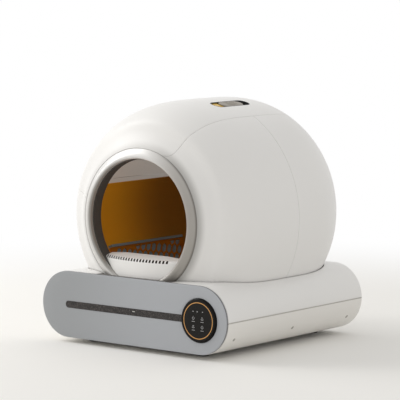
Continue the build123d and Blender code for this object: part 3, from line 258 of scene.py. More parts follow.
finishes = {
    "shellWhite": moulded("shell_white_finish", {
        "colour": (0.835, 0.825, 0.81), "roughness": 0.44, "coat": 0.12, "drift": 0.985,
        "speckShare": 0.015, "coatRoughness": 0.3,
        # painted shade: darker on the dome towards the ring, most at its right, and a dark painted crevice
        # on the base's top by the ring's foot
        "paintedShades": ({"over": "radius", "from": 0.189, "to": 0.170, "side": (0.02, 0.12),
                    "depth": (-0.19, -0.21), "tint": (0.64, 0.635, 0.625)},
                   {"over": "radius", "from": 0.190, "to": 0.170, "depth": (-0.19, -0.21),
                    "tint": (0.84, 0.84, 0.835)},
                   {"over": "radius", "from": 0.1755, "to": 0.1715, "depth": (-0.2345, -0.2360),
                    "tint": (0.25, 0.24, 0.23)}),
    }),
    "baseWhite": moulded("base_white_finish", {
        "colour": (0.83, 0.81, 0.775), "roughness": 0.46, "coat": 0.1, "drift": 0.98,
        "speckShare": 0.02, "coatRoughness": 0.3,
        # painted shade: a dark band along the top of the lower shell, at the seam
        "paintedShades": ({"over": "z", "from": 0.0886, "to": 0.0906, "tint": (0.6, 0.59, 0.57)},),
    }),
    "lipWhite": moulded("lip_white_finish", {
        "colour": (0.79, 0.778, 0.76), "roughness": 0.44, "coat": 0.12, "drift": 0.985,
        # painted light: a faint glow brightens the lip, which lies in the tunnel's shade
        "speckShare": 0.015, "coatRoughness": 0.3, "glowStrength": 0.06,
    }),
    "shellInner": moulded("shell_inner_finish", {
        # painted light: the inner face glows faintly; painted shade: darker towards the right
        "colour": (0.62, 0.60, 0.57), "roughness": 0.6, "drift": 0.97, "glowStrength": 0.275,
        "paintedShades": ({"over": "x", "from": -0.09, "to": 0.10, "tint": (0.58, 0.565, 0.55)},),
    }),
    "panelGrey": moulded("panel_grey_finish", {
        "colour": (0.415, 0.43, 0.455), "roughness": 0.58, "speckShare": 0.03,
        # painted shade: darker towards the left, and darker on the panel's sides behind its face
        "paintedShades": ({"over": "x", "from": 0.10, "to": -0.25, "tint": (0.80, 0.80, 0.785)},
                   {"over": "y", "from": -0.2624, "to": -0.2614, "tint": (0.46, 0.46, 0.47)}),
    }),
    "ringSilver": moulded("ring_silver_finish", {
        "colour": (0.76, 0.75, 0.735), "roughness": 0.36, "coat": 0.15, "metallic": 0.2,
        "speckShare": 0.03,
        # painted shade and painted reflection: darker towards the right and the bottom, on the inner slope
        # at the left and along the outer edge at the right
        "paintedShades": ({"over": "x", "from": 0.0, "to": 0.13, "tint": (0.57, 0.55, 0.525)},
                   {"over": "z", "from": 0.43, "to": 0.33, "tint": (0.88, 0.87, 0.855)},
                   {"over": "radius", "from": 0.151, "to": 0.1475, "side": (-0.02, -0.10),
                    "tint": (0.55, 0.545, 0.53)},
                   {"over": "radius", "from": 0.165, "to": 0.1685, "side": (0.03, 0.12),
                    "tint": (0.55, 0.54, 0.53)}),
    }),
    "collarDark": moulded("collar_dark_finish", {"colour": (0.078, 0.074, 0.069), "roughness": 0.6}),
    "drumOrange": litTub("drum_orange_finish", {
        "frontColour": (0.88, 0.43, 0.022), "rearColour": (0.34, 0.165, 0.024),
        # painted light: a faint glow on top of the bright-to-deep run
        "frontY": -0.14, "rearY": 0.10, "roughness": 0.46, "glowStrength": 0.035,
        "cloudScale": 9, "cloudShare": 0.12, "cloudTint": 0.8,
        "grainScale": 1400, "grainRoughness": 0.1, "grainDepth": 0.00003,
        "scuffStretch": (30, 8, 30), "scuffRange": (0.62, 0.8), "scuffRoughness": 0.12,
    }),
    "sieveOrange": moulded("sieve_orange_finish", {"colour": (0.50, 0.20, 0.015), "roughness": 0.5}),
    "matGrey": moulded("mat_grey_finish", {
        # painted light: a faint bluish glow
        "colour": (0.22, 0.32, 0.40), "roughness": 0.75, "glow": (0.55, 0.8, 1), "glowStrength": 0.014,
    }),
    "displayBlack": moulded("display_black_finish", {
        "colour": (0.006, 0.005, 0.004), "roughness": 0.36, "specular": 0.1,
    }),
    "lensBlack": moulded("lens_black_finish", {
        "colour": (0.011, 0.010, 0.009), "roughness": 0.24, "specular": 0.16, "speckShare": 0.0,
    }),
    "lightOrange": moulded("light_orange_finish", {
        "colour": (0.58, 0.29, 0.08), "roughness": 0.4, "glow": (1, 0.48, 0.14), "glowStrength": 0.09,
    }),
    "markWhite": moulded("mark_white_finish", {
        "colour": (0.34, 0.34, 0.34), "roughness": 0.5, "glow": (1, 1, 1), "glowStrength": 0.04,
    }),
    "stripDark": speckled("strip_dark_finish", {
        "dark": (0.008, 0.007, 0.006), "middle": (0.030, 0.025, 0.023), "light": (0.14, 0.12, 0.115),
        "coarseScale": 230, "coarseRange": (0.38, 0.62), "coarseHeight": 0.6,
        "fineScale": 560, "fineRange": (0.52, 0.72), "fineHeight": 0.4, "fineShare": 0.8,
        "fineRoughness": 0.3, "roughness": 0.72, "depth": 0.0002,
    }),
    "lightWhite": moulded("light_white_finish", {
        "colour": (0.50, 0.49, 0.46), "roughness": 0.4, "glow": (1, 0.97, 0.9), "glowStrength": 0.05,
    }),
    "boardGreen": moulded("board_green_finish", {
        "colour": (0.03, 0.16, 0.06), "roughness": 0.35, "drift": 0.8,
    }),
    "frameGrey": moulded("frame_grey_finish", {"colour": (0.42, 0.42, 0.41), "roughness": 0.6}),
    "trayGrey": moulded("tray_grey_finish", {
        "colour": (0.20, 0.205, 0.21), "roughness": 0.55, "drift": 0.9,
    }),
    "rubberBlack": moulded("rubber_black_finish", {"colour": (0.02, 0.02, 0.02), "roughness": 0.85}),
    "screwGrey": moulded("screw_grey_finish", {
        "colour": (0.40, 0.38, 0.35), "roughness": 0.4, "metallic": 0.4,
    }),
    "steel": brushed("steel_finish", {
        "colour": (0.55, 0.55, 0.56), "roughness": 0.35, "lines": (60, 900, 60),
    }),
    "gearWhite": moulded("gear_white_finish", {
        "colour": (0.72, 0.71, 0.67), "roughness": 0.5, "drift": 0.93,
    }),
    "trackGrey": moulded("track_grey_finish", {"colour": (0.18, 0.18, 0.18), "roughness": 0.4}),
    "latchGrey": brushed("latch_grey_finish", {
        "colour": (0.345, 0.315, 0.275), "roughness": 0.5, "lines": (40, 700, 700), "metallic": 0.12,
    }),
    "cupBlack": moulded("cup_black_finish", {"colour": (0.02, 0.02, 0.02), "roughness": 0.5}),
    "amber": moulded("amber_finish", {
        # painted light: a glow that brightens the amber tab
        "colour": (0.68, 0.42, 0.06), "roughness": 0.25, "glow": (1, 0.66, 0.14), "glowStrength": 0.09,
    }),
    # painted shade: near-black brown for the walls of cut slots and recesses, which lie in shade
    "slotShade": moulded("slot_shade_finish", {"colour": (0.026, 0.014, 0.007), "roughness": 0.8}),
}
nodesByFinish = {
    "baseWhite": ("base_lower_shell",),
    "shellWhite": ("base_upper_shell", "right_front_panel", "right_rear_panel", "left_panel",
                   "rear_cap", "lid_panel", "lid_ledge"),
    "lipWhite": ("entrance_lip",),
    "panelGrey": ("drawer_front",),
    "ringSilver": ("entrance_ring",),
    "collarDark": ("tunnel_collar",),
    "drumOrange": ("drum_shell", "drum_rear_cap"),
    "sieveOrange": ("sieve_plate",),
    "matGrey": ("sieve_mat", "sieve_bar"),
    "displayBlack": ("display_housing", "power_inlet"),
    "lensBlack": ("display_lens",),
    "lightOrange": ("display_light_ring",),
    "stripDark": ("accent_strip",),
    "lightWhite": ("strip_light",),
    "boardGreen": ("display_board", "control_board"),
    "frameGrey": ("front_frame", "drum_deck", "cap_posts", "entrance_bulkhead", "drawer_rails", "gearbox",
                  "hinge_fixed_leaf", "hinge_lid_leaf"),
    "trayGrey": ("drawer_tray",),
    "rubberBlack": ("rubber_feet", "roller_front_left", "roller_front_right", "roller_rear_left",
                    "roller_rear_right"),
    "screwGrey": ("side_screws",),
    "steel": ("hinge_pin", "motor_bracket", "motor", "roller_axles", "pinion_shaft", "home_magnet"),
    "gearWhite": ("gear_ring", "drive_pinion"),
    "trackGrey": ("front_track", "rear_track", "bag_ring"),
    "latchGrey": ("latch_slider",),
    "cupBlack": ("latch_cup", "home_sensor"),
    "amber": ("latch_indicator",),
}
for finishName, nodeNames in nodesByFinish.items():
    for nodeName in nodeNames:
        for slot in frame["nodes"][nodeName].material_slots:
            slot.material = finishes[finishName]
print("finishes on all nodes")


# Mesh building, in millimetres


def newObject(name, points, faces, material):
    # an object at the origin, with its place in its mesh
    mesh = bpy.data.meshes.new(name)
    mesh.from_pydata((np.asarray(points) * mm).tolist(), [], faces)
    mesh.materials.append(material)
    made = bpy.data.objects.new(name, mesh)
    bpy.context.scene.collection.objects.link(made)
    return made


def addPiece(name, points, faces, finish, body, slotName, replaced=(), sharp=35, inner=None):
    # inner names a second finish and gives each face its material number
    piece = newObject(name, points, faces, finishes[finish])
    mesh = piece.data
    mesh.polygons.foreach_set("use_smooth", [True] * len(faces))
    if inner:
        mesh.materials.append(finishes[inner[0]])
        mesh.polygons.foreach_set("material_index", inner[1])
    mesh.set_sharp_from_angle(angle=radians(sharp))
    mesh.update()
    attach(piece, body)
    if replaced:
        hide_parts(*replaced)
    return piece


def gridFaces(rows, columns, first=0, closedRows=False, closedColumns=False, flip=False):
    # quads between the rows of a grid whose points are numbered row by row
    row, column = np.meshgrid(np.arange(rows if closedRows else rows - 1),
                              np.arange(columns if closedColumns else columns - 1), indexing="ij")
    rowStart, nextStart = row * columns, (row + 1) % rows * columns
    nextColumn = (column + 1) % columns
    corners = [rowStart + column, rowStart + nextColumn, nextStart + nextColumn, nextStart + column]
    quads = first + np.stack(corners, axis=-1).reshape(-1, 4)
    return (quads[:, ::-1] if flip else quads).tolist()


def turnedMesh(section, steps):
    # a closed section of (depth, radius) pairs turned about the dome's axis: a point is
    # (radius cos t, depth, axisZ + radius sin t)
    turns = np.arange(steps) * 2 * pi / steps
    depth, radius = np.array(section).T[:, :, None]
    rings = np.broadcast_arrays(radius * np.cos(turns), depth, axisZ + radius * np.sin(turns))
    points = np.stack(rings, axis=-1).reshape(-1, 3)
    return points, gridFaces(len(section), steps, closedRows=True, closedColumns=True)


def loftMesh(loops):
    # closed loops of points, one after the other, with a fan about the middle of each end loop
    rows, columns = len(loops), len(loops[0])
    size = rows * columns
    points = np.concatenate([*loops, [np.mean(loops[0], axis=0), np.mean(loops[-1], axis=0)]])
    around = np.arange(columns)
    after = np.roll(around, -1)
    firstFan = np.column_stack([after, around, np.full(columns, size)])
    lastFan = np.column_stack([around, after, np.full(columns, columns + 1)]) + size - columns
    fans = np.stack([firstFan, lastFan], axis=1).reshape(-1, 3)
    return points, gridFaces(rows, columns, closedColumns=True) + fans.tolist()


def prismMesh(near, far):
    # a closed prism between two outlines of as many points: a cap on each and quads between
    count = len(near)
    around = np.arange(count)
    after = np.roll(around, -1)
    sides = np.column_stack([around, after, after + count, around + count])
    return np.concatenate([near, far]), [around[::-1].tolist(), (around + count).tolist(), *sides.tolist()]


def joinedMesh(meshes):
    # several closed meshes as one, with their faces numbered on
    points = []
    faces = []
    for ownPoints, ownFaces in meshes:
        faces.extend([len(points) + index for index in face] for face in ownFaces)
        points.extend(ownPoints)
    return np.array(points), faces


def arc(centre, radius, fromAngle, toAngle, steps):
    # points (centre + radius cos t, centre + radius sin t) of a circle arc, angles in degrees
    turns = np.radians(np.linspace(fromAngle, toAngle, steps))
    return np.column_stack([centre[0] + radius * np.cos(turns), centre[1] + radius * np.sin(turns)])


def roundedEdge(size, steps):
    # inset and depth of a quarter-round edge, from the flat face to the side
    turns = np.linspace(0, pi / 2, steps)
    return [(size * (1 - sin(turn)), size * (1 - cos(turn))) for turn in turns]


def pillOutline(length, width, steps):
    # two half circles joined by straight sides
    radius = width / 2
    half = length / 2 - radius
    return np.concatenate([arc((half, 0), radius, -90, 90, steps), arc((-half, 0), radius, 90, 270, steps)])


def uprightLoop(flat, depth):
    # (x, z) pairs at one depth along Y
    return np.column_stack([flat[:, 0], np.full(len(flat), depth), flat[:, 1]])


def naturalCurve(points, steps):
    # cubic spline through the points, its length along the chords as parameter; the end slopes come
    # from the cubic through the last four points
    points = np.array(points, float)
    knots = np.concatenate([[0], np.cumsum(np.linalg.norm(np.diff(points, axis=0), axis=1))])
    gaps = np.diff(knots)
    count = len(points)
    matrix = np.zeros((count, count))
    right = np.zeros((count, 2))
    for end, four in ((0, slice(0, 4)), (count - 1, slice(count - 4, count))):
        matrix[end, end] = 1
        for axis in (0, 1):
            cubic = np.polyfit(knots[four] - knots[end], points[four, axis], 3)
            right[end, axis] = cubic[2]
    for k in range(1, count - 1):
        before, after = gaps[k - 1], gaps[k]
        matrix[k, k - 1], matrix[k, k], matrix[k, k + 1] = after, 2 * (before + after), before
        slopeBefore = (points[k] - points[k - 1]) / before
        slopeAfter = (points[k + 1] - points[k]) / after
        right[k] = 3 * (after * slopeBefore + before * slopeAfter)
    slopes = np.linalg.solve(matrix, right)
    places = np.linspace(0, knots[-1], steps)
    spans = np.clip(np.searchsorted(knots, places, side="right") - 1, 0, count - 2)
    gap = gaps[spans][:, None]
    t = ((places - knots[spans]) / gaps[spans])[:, None]
    return ((1 + 2 * t) * (1 - t) ** 2 * points[spans] + t * (1 - t) ** 2 * gap * slopes[spans]
            + t * t * (3 - 2 * t) * points[spans + 1] + t * t * (t - 1) * gap * slopes[spans + 1])


# Dome covers: the outline holds (depth, radius) pairs as shares of the dome's depth and radius

dome = {
    "radius": 273.07, "depth": 256, "wall": 3.0, "legZ": 150, "ringRoom": 169.55, "edgeRound": 0.5,
    "seamY": 19.0, "seamGap": 0.65, "capY": 204, "rightAngle": 60, "leftAngle": 165.5, "cornerRound": 22.0,
    "outlineShares": (
        (-0.9121, 0.6232), (-0.8945, 0.6518), (-0.8672, 0.6855), (-0.8359, 0.7261), (-0.8105, 0.7664),
        (-0.7930, 0.8030), (-0.7715, 0.8367), (-0.7266, 0.8715), (-0.6094, 0.9319), (-0.4531, 0.9744),
        (-0.2188, 0.9967), (0.0156, 1.0), (0.2500, 1.0), (0.4063, 0.9963), (0.5625, 0.9802),
        (0.7188, 0.9374), (0.8359, 0.8781), (0.9297, 0.8019), (0.9766, 0.7323), (1.0, 0.6445)),
    "curveSteps": 4000, "edgeSteps": 5, "rowSpacing": 5.0, "columnSpacing": 5.0, "denseRows": 14,
    "tolerance": 1e-6,
}
domePoints = np.array(dome["outlineShares"]) * (dome["depth"], dome["radius"])
domeCurve = naturalCurve(domePoints, dome["curveSteps"])
domeLengths = np.concatenate([[0], np.cumsum(np.linalg.norm(np.diff(domeCurve, axis=0), axis=1))])
domeSlopes = np.gradient(domeCurve, domeLengths, axis=0)


def domeOutline(lengths):
    # depth, radius and the outward normal at these lengths along the outline
    y = np.interp(lengths, domeLengths, domeCurve[:, 0])
    r = np.interp(lengths, domeLengths, domeCurve[:, 1])
    along = np.interp(lengths, domeLengths, domeSlopes[:, 0])
    out = np.interp(lengths, domeLengths, domeSlopes[:, 1])
    size = np.hypot(along, out)
    return y, r, -out / size, along / size


def edgePlaces(length, spacing, dense=0):
    # places from 0 to length: close together within the rounding at both ends and even between;
    # dense adds close rows over a stretch behind the first end
    rounding = dome["edgeRound"]
    start = rounding * (1 - np.cos(np.linspace(0, pi / 2, dome["edgeSteps"])))
    middle = np.linspace(rounding, length - rounding, max(2, int(length / spacing)) + 1)[1:-1]
    if dense:
        nearShares = 1 - np.cos(np.linspace(0, pi / 2, dome["denseRows"])[1:])
        near = rounding + (dense - rounding) * nearShares
        middle = np.concatenate([near, middle[middle > dense + spacing / 2]])
    return np.concatenate([start, middle, length - start[::-1]])


def domePanel(name, yFrom, yTo, angleFrom, angleTo, body, replaced, dense=0):
    # a curved wall with rounded edges: a point of the outer face lies on the outline at length s and
    # angle t, moved inwards by e (1 - sqrt(1 - a^2 - b^2)), where a and b run from 0 to 1 over the
    # last e millimetres before an edge; the inner face is the same grid one wall further in
    start, end = np.interp((yFrom, yTo), domeCurve[:, 0], domeLengths)
    places = edgePlaces(end - start, dome["rowSpacing"], dense)
    y, r, normalY, normalR = domeOutline(start + places)
    first = np.radians(angleFrom(places, r))
    widths = (np.radians(angleTo(places, r)) - first) * r
    widest = float(np.max(widths))
    sidePlaces = edgePlaces(widest, dome["columnSpacing"])
    rounding = dome["edgeRound"]
    inside = (sidePlaces > rounding) & (sidePlaces < widest - rounding)
    atEnd = sidePlaces > widest - rounding - dome["tolerance"]
    width = widths[:, None]
    across = np.tile(sidePlaces, (len(places), 1))
    narrowing = (width - 2 * rounding) / (widest - 2 * rounding)
    across[:, inside] = rounding + (sidePlaces[inside] - rounding) * narrowing
    across[:, atEnd] -= widest - width
    angles = first[:, None] + across / r[:, None]
    sides = np.clip(1 - np.minimum(across, width - across) / rounding, 0, 1)
    ends = np.clip(1 - np.minimum(places, places[-1] - places) / rounding, 0, 1)[:, None]
    drop = rounding * (1 - np.sqrt(np.clip(1 - ends ** 2 - sides ** 2, 0, 1)))
    grids = []
    for inset in (drop, np.full_like(drop, dome["wall"])):
        radius = np.maximum(r[:, None] - normalR[:, None] * inset, dome["ringRoom"])
        depth = y[:, None] - normalY[:, None] * inset
        grids.append(np.stack([radius * np.cos(angles), depth, axisZ + radius * np.sin(angles)], axis=-1))
    rows, columns = angles.shape
    size = rows * columns
    outerFaces = gridFaces(rows, columns, flip=True)
    innerFaces = gridFaces(rows, columns, first=size)
    order = np.arange(size).reshape(rows, columns)
    border = np.concatenate([order[0], order[1:, -1], order[-1, -2::-1], order[-2:0:-1, 0]])
    after = np.roll(border, -1)
    edgeFaces = np.column_stack([border, after, after + size, border + size]).tolist()
    materials = [0] * len(outerFaces) + [1] * len(innerFaces) + [0] * len(edgeFaces)
    return addPiece(name, np.concatenate(grids).reshape(-1, 3), outerFaces + innerFaces + edgeFaces,
                    "shellWhite", body, "shell_white", replaced, inner=("shellInner", materials))


# Sides of the dome panels: angles in degrees at these places along the outline and their radii


def rightLeg(places, radius):
    # where a circle of this radius comes down to the legs' height
    return np.degrees(-np.arcsin((axisZ - dome["legZ"]) / radius))


def leftLeg(places, radius):
    return 180 - rightLeg(places, radius)


def roundedSeam(places, radius):
    # the right seam runs at one angle and turns in a quarter circle where it meets the ring
    share = np.clip(1 - places / dome["cornerRound"], 0, 1)
    turn = dome["cornerRound"] * (1 - np.sqrt(1 - share ** 2))
    return dome["rightAngle"] + np.degrees(turn / radius)


def straightSeam(places, radius):
    return np.full_like(radius, dome["rightAngle"])


def leftSeam(places, radius):
    return np.full_like(radius, dome["leftAngle"])


def lidRight(places, radius):
    return roundedSeam(places, radius) + np.degrees(dome["seamGap"] / radius)


def lidLeft(places, radius):
    return leftSeam(places, radius) - np.degrees(dome["seamGap"] / radius)


domeFront = domeCurve[0, 0]
capFront = dome["capY"] - dome["seamGap"]
halfGap = dome["seamGap"] / 2
domePanel("right_front_cover", domeFront, dome["seamY"] - halfGap, rightLeg, roundedSeam,
          "housing", ("right_front_panel",), dense=dome["cornerRound"])
domePanel("right_rear_cover", dome["seamY"] + halfGap, capFront, rightLeg, straightSeam,
          "housing", ("right_rear_panel",))
domePanel("left_cover", domeFront, capFront, leftSeam, leftLeg, "housing", ("left_panel",))
lidCover = domePanel("lid_cover", domeFront, capFront, lidRight, lidLeft,
                     "lid", ("lid_panel",), dense=dome["cornerRound"])
print("dome covers ready")


# Latch recess in the lid

latch = {"angle": 75, "y": 15, "length": 130.6, "width": 36.6, "depth": 14, "steps": 24}
latchTurn = radians(latch["angle"])


def latchPoints(out, along, across):
    # places by their distance from the dome's axis, along Y and across the latch
    x = out * cos(latchTurn) - across * sin(latchTurn)
    z = axisZ + out * sin(latchTurn) + across * cos(latchTurn)
    return np.stack(np.broadcast_arrays(x, along, z), axis=-1)


def cutWith(piece, loops):
    # takes a closed loft away from a piece and keeps the result as its mesh; the cut faces take the cutter's
    # near-black finish, painted shade in the slots and recesses
    cutter = newObject("cutter", *loftMesh(loops), finishes["slotShade"])
    modifier = piece.modifiers.new("cut", "BOOLEAN")
    modifier.object = cutter
    modifier.solver = "EXACT"
    modifier.material_mode = "TRANSFER"
    bpy.context.view_layer.update()
    cut = bpy.data.meshes.new_from_object(piece.evaluated_get(bpy.context.evaluated_depsgraph_get()))
    piece.modifiers.clear()
    piece.data = cut
    bpy.data.objects.remove(cutter)


latchAlong, latchAcross = pillOutline(latch["length"], latch["width"], latch["steps"]).T
cutWith(lidCover, [latchPoints(dome["radius"] + height, latch["y"] + latchAlong, latchAcross)
                   for height in (-latch["depth"], latch["depth"])])
print("latch recess ready")


# Entrance ring: (depth, radius) pairs; its crown lies near the inner edge

ring = {
    "inner": (-233.2, 145.2), "innerFront": (-233.5, 145.2), "brow": (-240.8, 145.8),
    "crown": (-245.4, 151.2), "shoulder": (-241.9, 159.6), "outer": (-232.9, 169.42),
    "footFront": (-232.9, 169.32), "footRear": (-232.75, 169.12), "steps": 40, "turnSteps": 240,
}
ringCurve = naturalCurve([ring["brow"], ring["crown"], ring["shoulder"], ring["outer"]], ring["steps"])
ringSection = [ring["inner"], ring["innerFront"], *ringCurve[:-1], ring["footFront"], ring["footRear"]]
addPiece("entrance_ring_cover", *turnedMesh(ringSection[::-1], ring["turnSteps"]),
         "ringSilver", "housing", "ring_silver", ("entrance_ring",))
print("ring ready")


# Entrance lip: the filled lower part of the tunnel, with a bulging front and a row of slots

lip = {
    "radius": 144.6, "frontY": -247.0, "bulgeRadius": 290.0, "rearY": -207.2, "edgeZ": 215.3, "rearZ": 221.3,
    "cornerRound": 5.0, "edgeRound": 7.0, "riseReach": 31.0, "edgeSteps": 9, "shelfSteps": 8,
    "wallSteps": 8, "columns": 120, "endTurn": 4, "sharpAngle": 50,
    "slotCount": 22, "slotPitch": 8.85, "slotWidth": 5.2, "slotMiddle": -11.0, "slotReach": 4.2,
    "slotFloor": 208.0, "slotEndSteps": 8, "overrun": 5,
}


def lipFront(x):
    # the front is an arc in plan
    return lip["frontY"] + lip["bulgeRadius"] - np.sqrt(lip["bulgeRadius"] ** 2 - x * x)


def lipSections():
    # one section per place x along the lip, from the shelf's rear over the edge to the underside; the
    # underside follows the tunnel's circle up to a corner circle, which lies within it and ends the
    # lip at both sides, and lowers the shelf there
    cornerRound = lip["cornerRound"]
    cornerZ = lip["edgeZ"] - cornerRound
    reach = sqrt((lip["radius"] - cornerRound) ** 2 - (axisZ - cornerZ) ** 2)
    touch = reach * lip["radius"] / (lip["radius"] - cornerRound)
    end = reach + cornerRound * cos(radians(lip["endTurn"]))
    x = end * np.sin(np.linspace(-pi / 2, pi / 2, lip["columns"]))
    beyond = np.sqrt(cornerRound ** 2 - np.maximum(np.abs(x) - reach, 0) ** 2)
    low = np.where(np.abs(x) > touch, cornerZ - beyond, axisZ - np.sqrt(lip["radius"] ** 2 - x * x))
    high = lip["edgeZ"] - cornerRound + beyond
    front = lipFront(x)
    rounding = np.minimum(lip["edgeRound"], (high - low) / 2)
    depths = [np.full_like(x, lip["rearY"]), front]
    heights = [low, low]
    for wallZ in np.linspace(low, high - rounding, lip["wallSteps"])[1:-1]:
        depths.append(front)
        heights.append(wallZ)
    for inset, depth in roundedEdge(rounding, lip["edgeSteps"]):
        depths.append(front + depth)
        heights.append(high - inset)
    slope = (lip["rearZ"] - lip["edgeZ"]) / (lip["rearY"] - lip["frontY"])
    rise = lip["edgeRound"] / lip["riseReach"]
    for y in np.linspace(front + rounding, lip["rearY"], lip["shelfSteps"])[1:]:
        depths.append(y)
        heights.append(high + np.minimum(slope * (y - lip["frontY"]), rise * (y - front - rounding)))
    loops = np.broadcast_arrays(x, np.array(depths)[::-1], np.array(heights)[::-1])
    return np.stack(loops, axis=-1).transpose(1, 0, 2)


lipPiece = addPiece("entrance_lip_cover", *loftMesh(lipSections()), "lipWhite", "housing", "shell_white",
                    ("entrance_lip",), sharp=lip["sharpAngle"])
slotHalf = lip["slotWidth"] / 2
for place in np.arange(lip["slotCount"]) - (lip["slotCount"] - 1) / 2:
    middle = lip["slotMiddle"] + place * lip["slotPitch"]
    front = lipFront(middle)
    mouth = [(middle - slotHalf, front - lip["overrun"]), (middle + slotHalf, front - lip["overrun"])]
    slotEnd = arc((middle, front + lip["slotReach"] - slotHalf), slotHalf, 0, 180, lip["slotEndSteps"])
    outline = np.concatenate([mouth, slotEnd])
    cutWith(lipPiece, [np.column_stack([outline, np.full(len(outline), z)])
                       for z in (lip["slotFloor"], lip["edgeZ"] + lip["overrun"])])
print("lip ready")


# Front panel: rows of points that run from the display hole out to the panel's edge and back behind

panel = {
    "inset": 0.5, "holeRadius": 51.3, "edgeRound": 1.4, "holeRound": 0.8, "edgeSteps": 5, "endSteps": 64,
    "straightSteps": 60, "frontRows": 12, "rearRows": 8,
}


def stadiumLoop(inset):
    # the base's outline from the front, moved inwards
    radius = base["endRadius"] - inset
    centre = base["endCentre"]
    middle = base["middle"]
    straight = np.linspace(centre, -centre, panel["straightSteps"])[1:-1]
    return np.concatenate([
        arc((centre, middle), radius, -90, 90, panel["endSteps"]),
        np.column_stack([straight, np.full_like(straight, middle + radius)]),
        arc((-centre, middle), radius, 90, 270, panel["endSteps"]),
        np.column_stack([-straight, np.full_like(straight, middle - radius)]),
    ])


displayCentre = np.array([base["endCentre"], base["middle"]])
panelEdge = stadiumLoop(panel["inset"])
directions = panelEdge - displayCentre
directions = directions / np.linalg.norm(directions, axis=1)[:, None]


def holeLoop(inset):
    return displayCentre + directions * (panel["holeRadius"] + inset)


panelRows = []
for inset, depth in roundedEdge(panel["holeRound"], panel["edgeSteps"])[::-1]:
    panelRows.append(uprightLoop(holeLoop(inset), base["panelFront"] + depth))
holeEdge = holeLoop(panel["holeRound"])
frontEdge = stadiumLoop(panel["inset"] + panel["edgeRound"])
for share in np.linspace(0, 1, panel["frontRows"])[1:-1]:
    panelRows.append(uprightLoop(holeEdge + (frontEdge - holeEdge) * share, base["panelFront"]))
for inset, depth in roundedEdge(panel["edgeRound"], panel["edgeSteps"]):
    panelRows.append(uprightLoop(stadiumLoop(panel["inset"] + inset), base["panelFront"] + depth))
panelHole = holeLoop(0)
for share in np.linspace(1, 0, panel["rearRows"]):
    panelRows.append(uprightLoop(panelHole + (panelEdge - panelHole) * share, base["panelRear"]))
panelFaces = gridFaces(len(panelRows), len(panelEdge), closedRows=True, closedColumns=True, flip=True)
addPiece("front_panel_cover", np.concatenate(panelRows), panelFaces, "panelGrey", "drawer", "panel_grey",
         ("drawer_front",))
print("front panel ready")


# Marks on the display: generic icons and caption bars, thin plates on the lens

marks = {
    "sunk": 0.28, "proud": 0.12, "icon": 3.4, "stroke": 1.0, "captionLength": 9.0, "captionHeight": 1.2,
    "columns": (-13.8, 11.8), "iconRows": (6.2, -13.4), "captionRows": (-2.2, -22.2),
    "topRow": 21.0, "topPlaces": (-14.4, -2.6, 13.0), "topHoop": 1, "topSize": 1.7,
    "ballDropShare": 1 / 3, "stemWidthShare": 1.6, "stemHeightShare": 0.9,
    "bowlAngles": (200, 340), "rimRiseShare": 1 / 2, "rimLengthShare": 1.5, "lineDropShare": 1 / 4,
    "hoopSteps": 16, "barSteps": 6,
}
markRear = base["displayFace"] + marks["sunk"]
markFront = markRear - marks["proud"]
markMeshes = []


def addBar(x, z, length, height):
    outline = displayCentre + pillOutline(length, height, marks["barSteps"]) + (x, z)
    markMeshes.append(prismMesh(uprightLoop(outline, markRear), uprightLoop(outline, markFront)))


def addHoop(x, z, radius, fromAngle=0, toAngle=360):
    # a section of four corners carried along a circle; a full hoop closes on itself
    steps = marks["hoopSteps"] + 1
    inner = displayCentre + arc((x, z), radius, fromAngle, toAngle, steps)
    outer = displayCentre + arc((x, z), radius + marks["stroke"], fromAngle, toAngle, steps)
    corners = [uprightLoop(inner, markFront), uprightLoop(outer, markFront),
               uprightLoop(outer, markRear), uprightLoop(inner, markRear)]
    sections = np.stack(corners, axis=1)
    if toAngle - fromAngle < 360:
        markMeshes.append(loftMesh(sections))
    else:
        faces = gridFaces(steps - 1, len(corners), closedRows=True, closedColumns=True)
        markMeshes.append((sections[:-1].reshape(-1, 3), faces))


for place, x in enumerate(marks["topPlaces"]):
    if place == marks["topHoop"]:
        addHoop(x, marks["topRow"], marks["topSize"] - marks["stroke"])
    else:
        addBar(x, marks["topRow"], 2 * marks["topSize"], marks["topSize"])
for column, x in enumerate(marks["columns"]):
    for row, z in enumerate(marks["iconRows"]):
        size = marks["icon"]
        stroke = marks["stroke"]
        if row == column:
            addHoop(x, z - size * marks["ballDropShare"], size - stroke)
            addBar(x, z + size, stroke * marks["stemWidthShare"], size * marks["stemHeightShare"])
        else:
            addHoop(x, z, size, *marks["bowlAngles"])
            addBar(x, z + size * marks["rimRiseShare"], size * marks["rimLengthShare"], stroke)
            addBar(x, z - size * marks["lineDropShare"], size, stroke)
        addBar(x, marks["captionRows"][row], marks["captionLength"], marks["captionHeight"])
addPiece("display_marks", *joinedMesh(markMeshes), "markWhite", "housing", "light_white")
print("display marks ready")


# Grip ribs on the latch slider: the section holds pairs of a share of the rib's width and a height

grip = {
    "y": 18, "count": 9, "pitch": 4.0, "width": 1.4, "length": 20, "proud": 0.5, "sunk": 0.4, "below": 0.3,
}
ribSection = np.array([(-0.5, -grip["sunk"]), (-0.5, 0), (-0.25, grip["proud"]), (0.25, grip["proud"]),
                       (0.5, 0), (0.5, -grip["sunk"])])
ribAlong = ribSection[:, 0] * grip["width"]
ribHeight = ribSection[:, 1]
ribs = []
for place in np.arange(grip["count"]) - (grip["count"] - 1) / 2:
    middle = grip["y"] + place * grip["pitch"]
    top = np.interp(middle, domeCurve[:, 0], domeCurve[:, 1]) - grip["below"]
    ribEnds = [latchPoints(top + ribHeight, middle + ribAlong, across)
               for across in (-grip["length"] / 2, grip["length"] / 2)]
    ribs.append(prismMesh(*ribEnds))
addPiece("latch_grip", *joinedMesh(ribs), "latchGrey", "latch", "latch_grey")
print("latch grip ready")


# Floor, backdrop, lights and camera; apart from the floor's size they are in metres

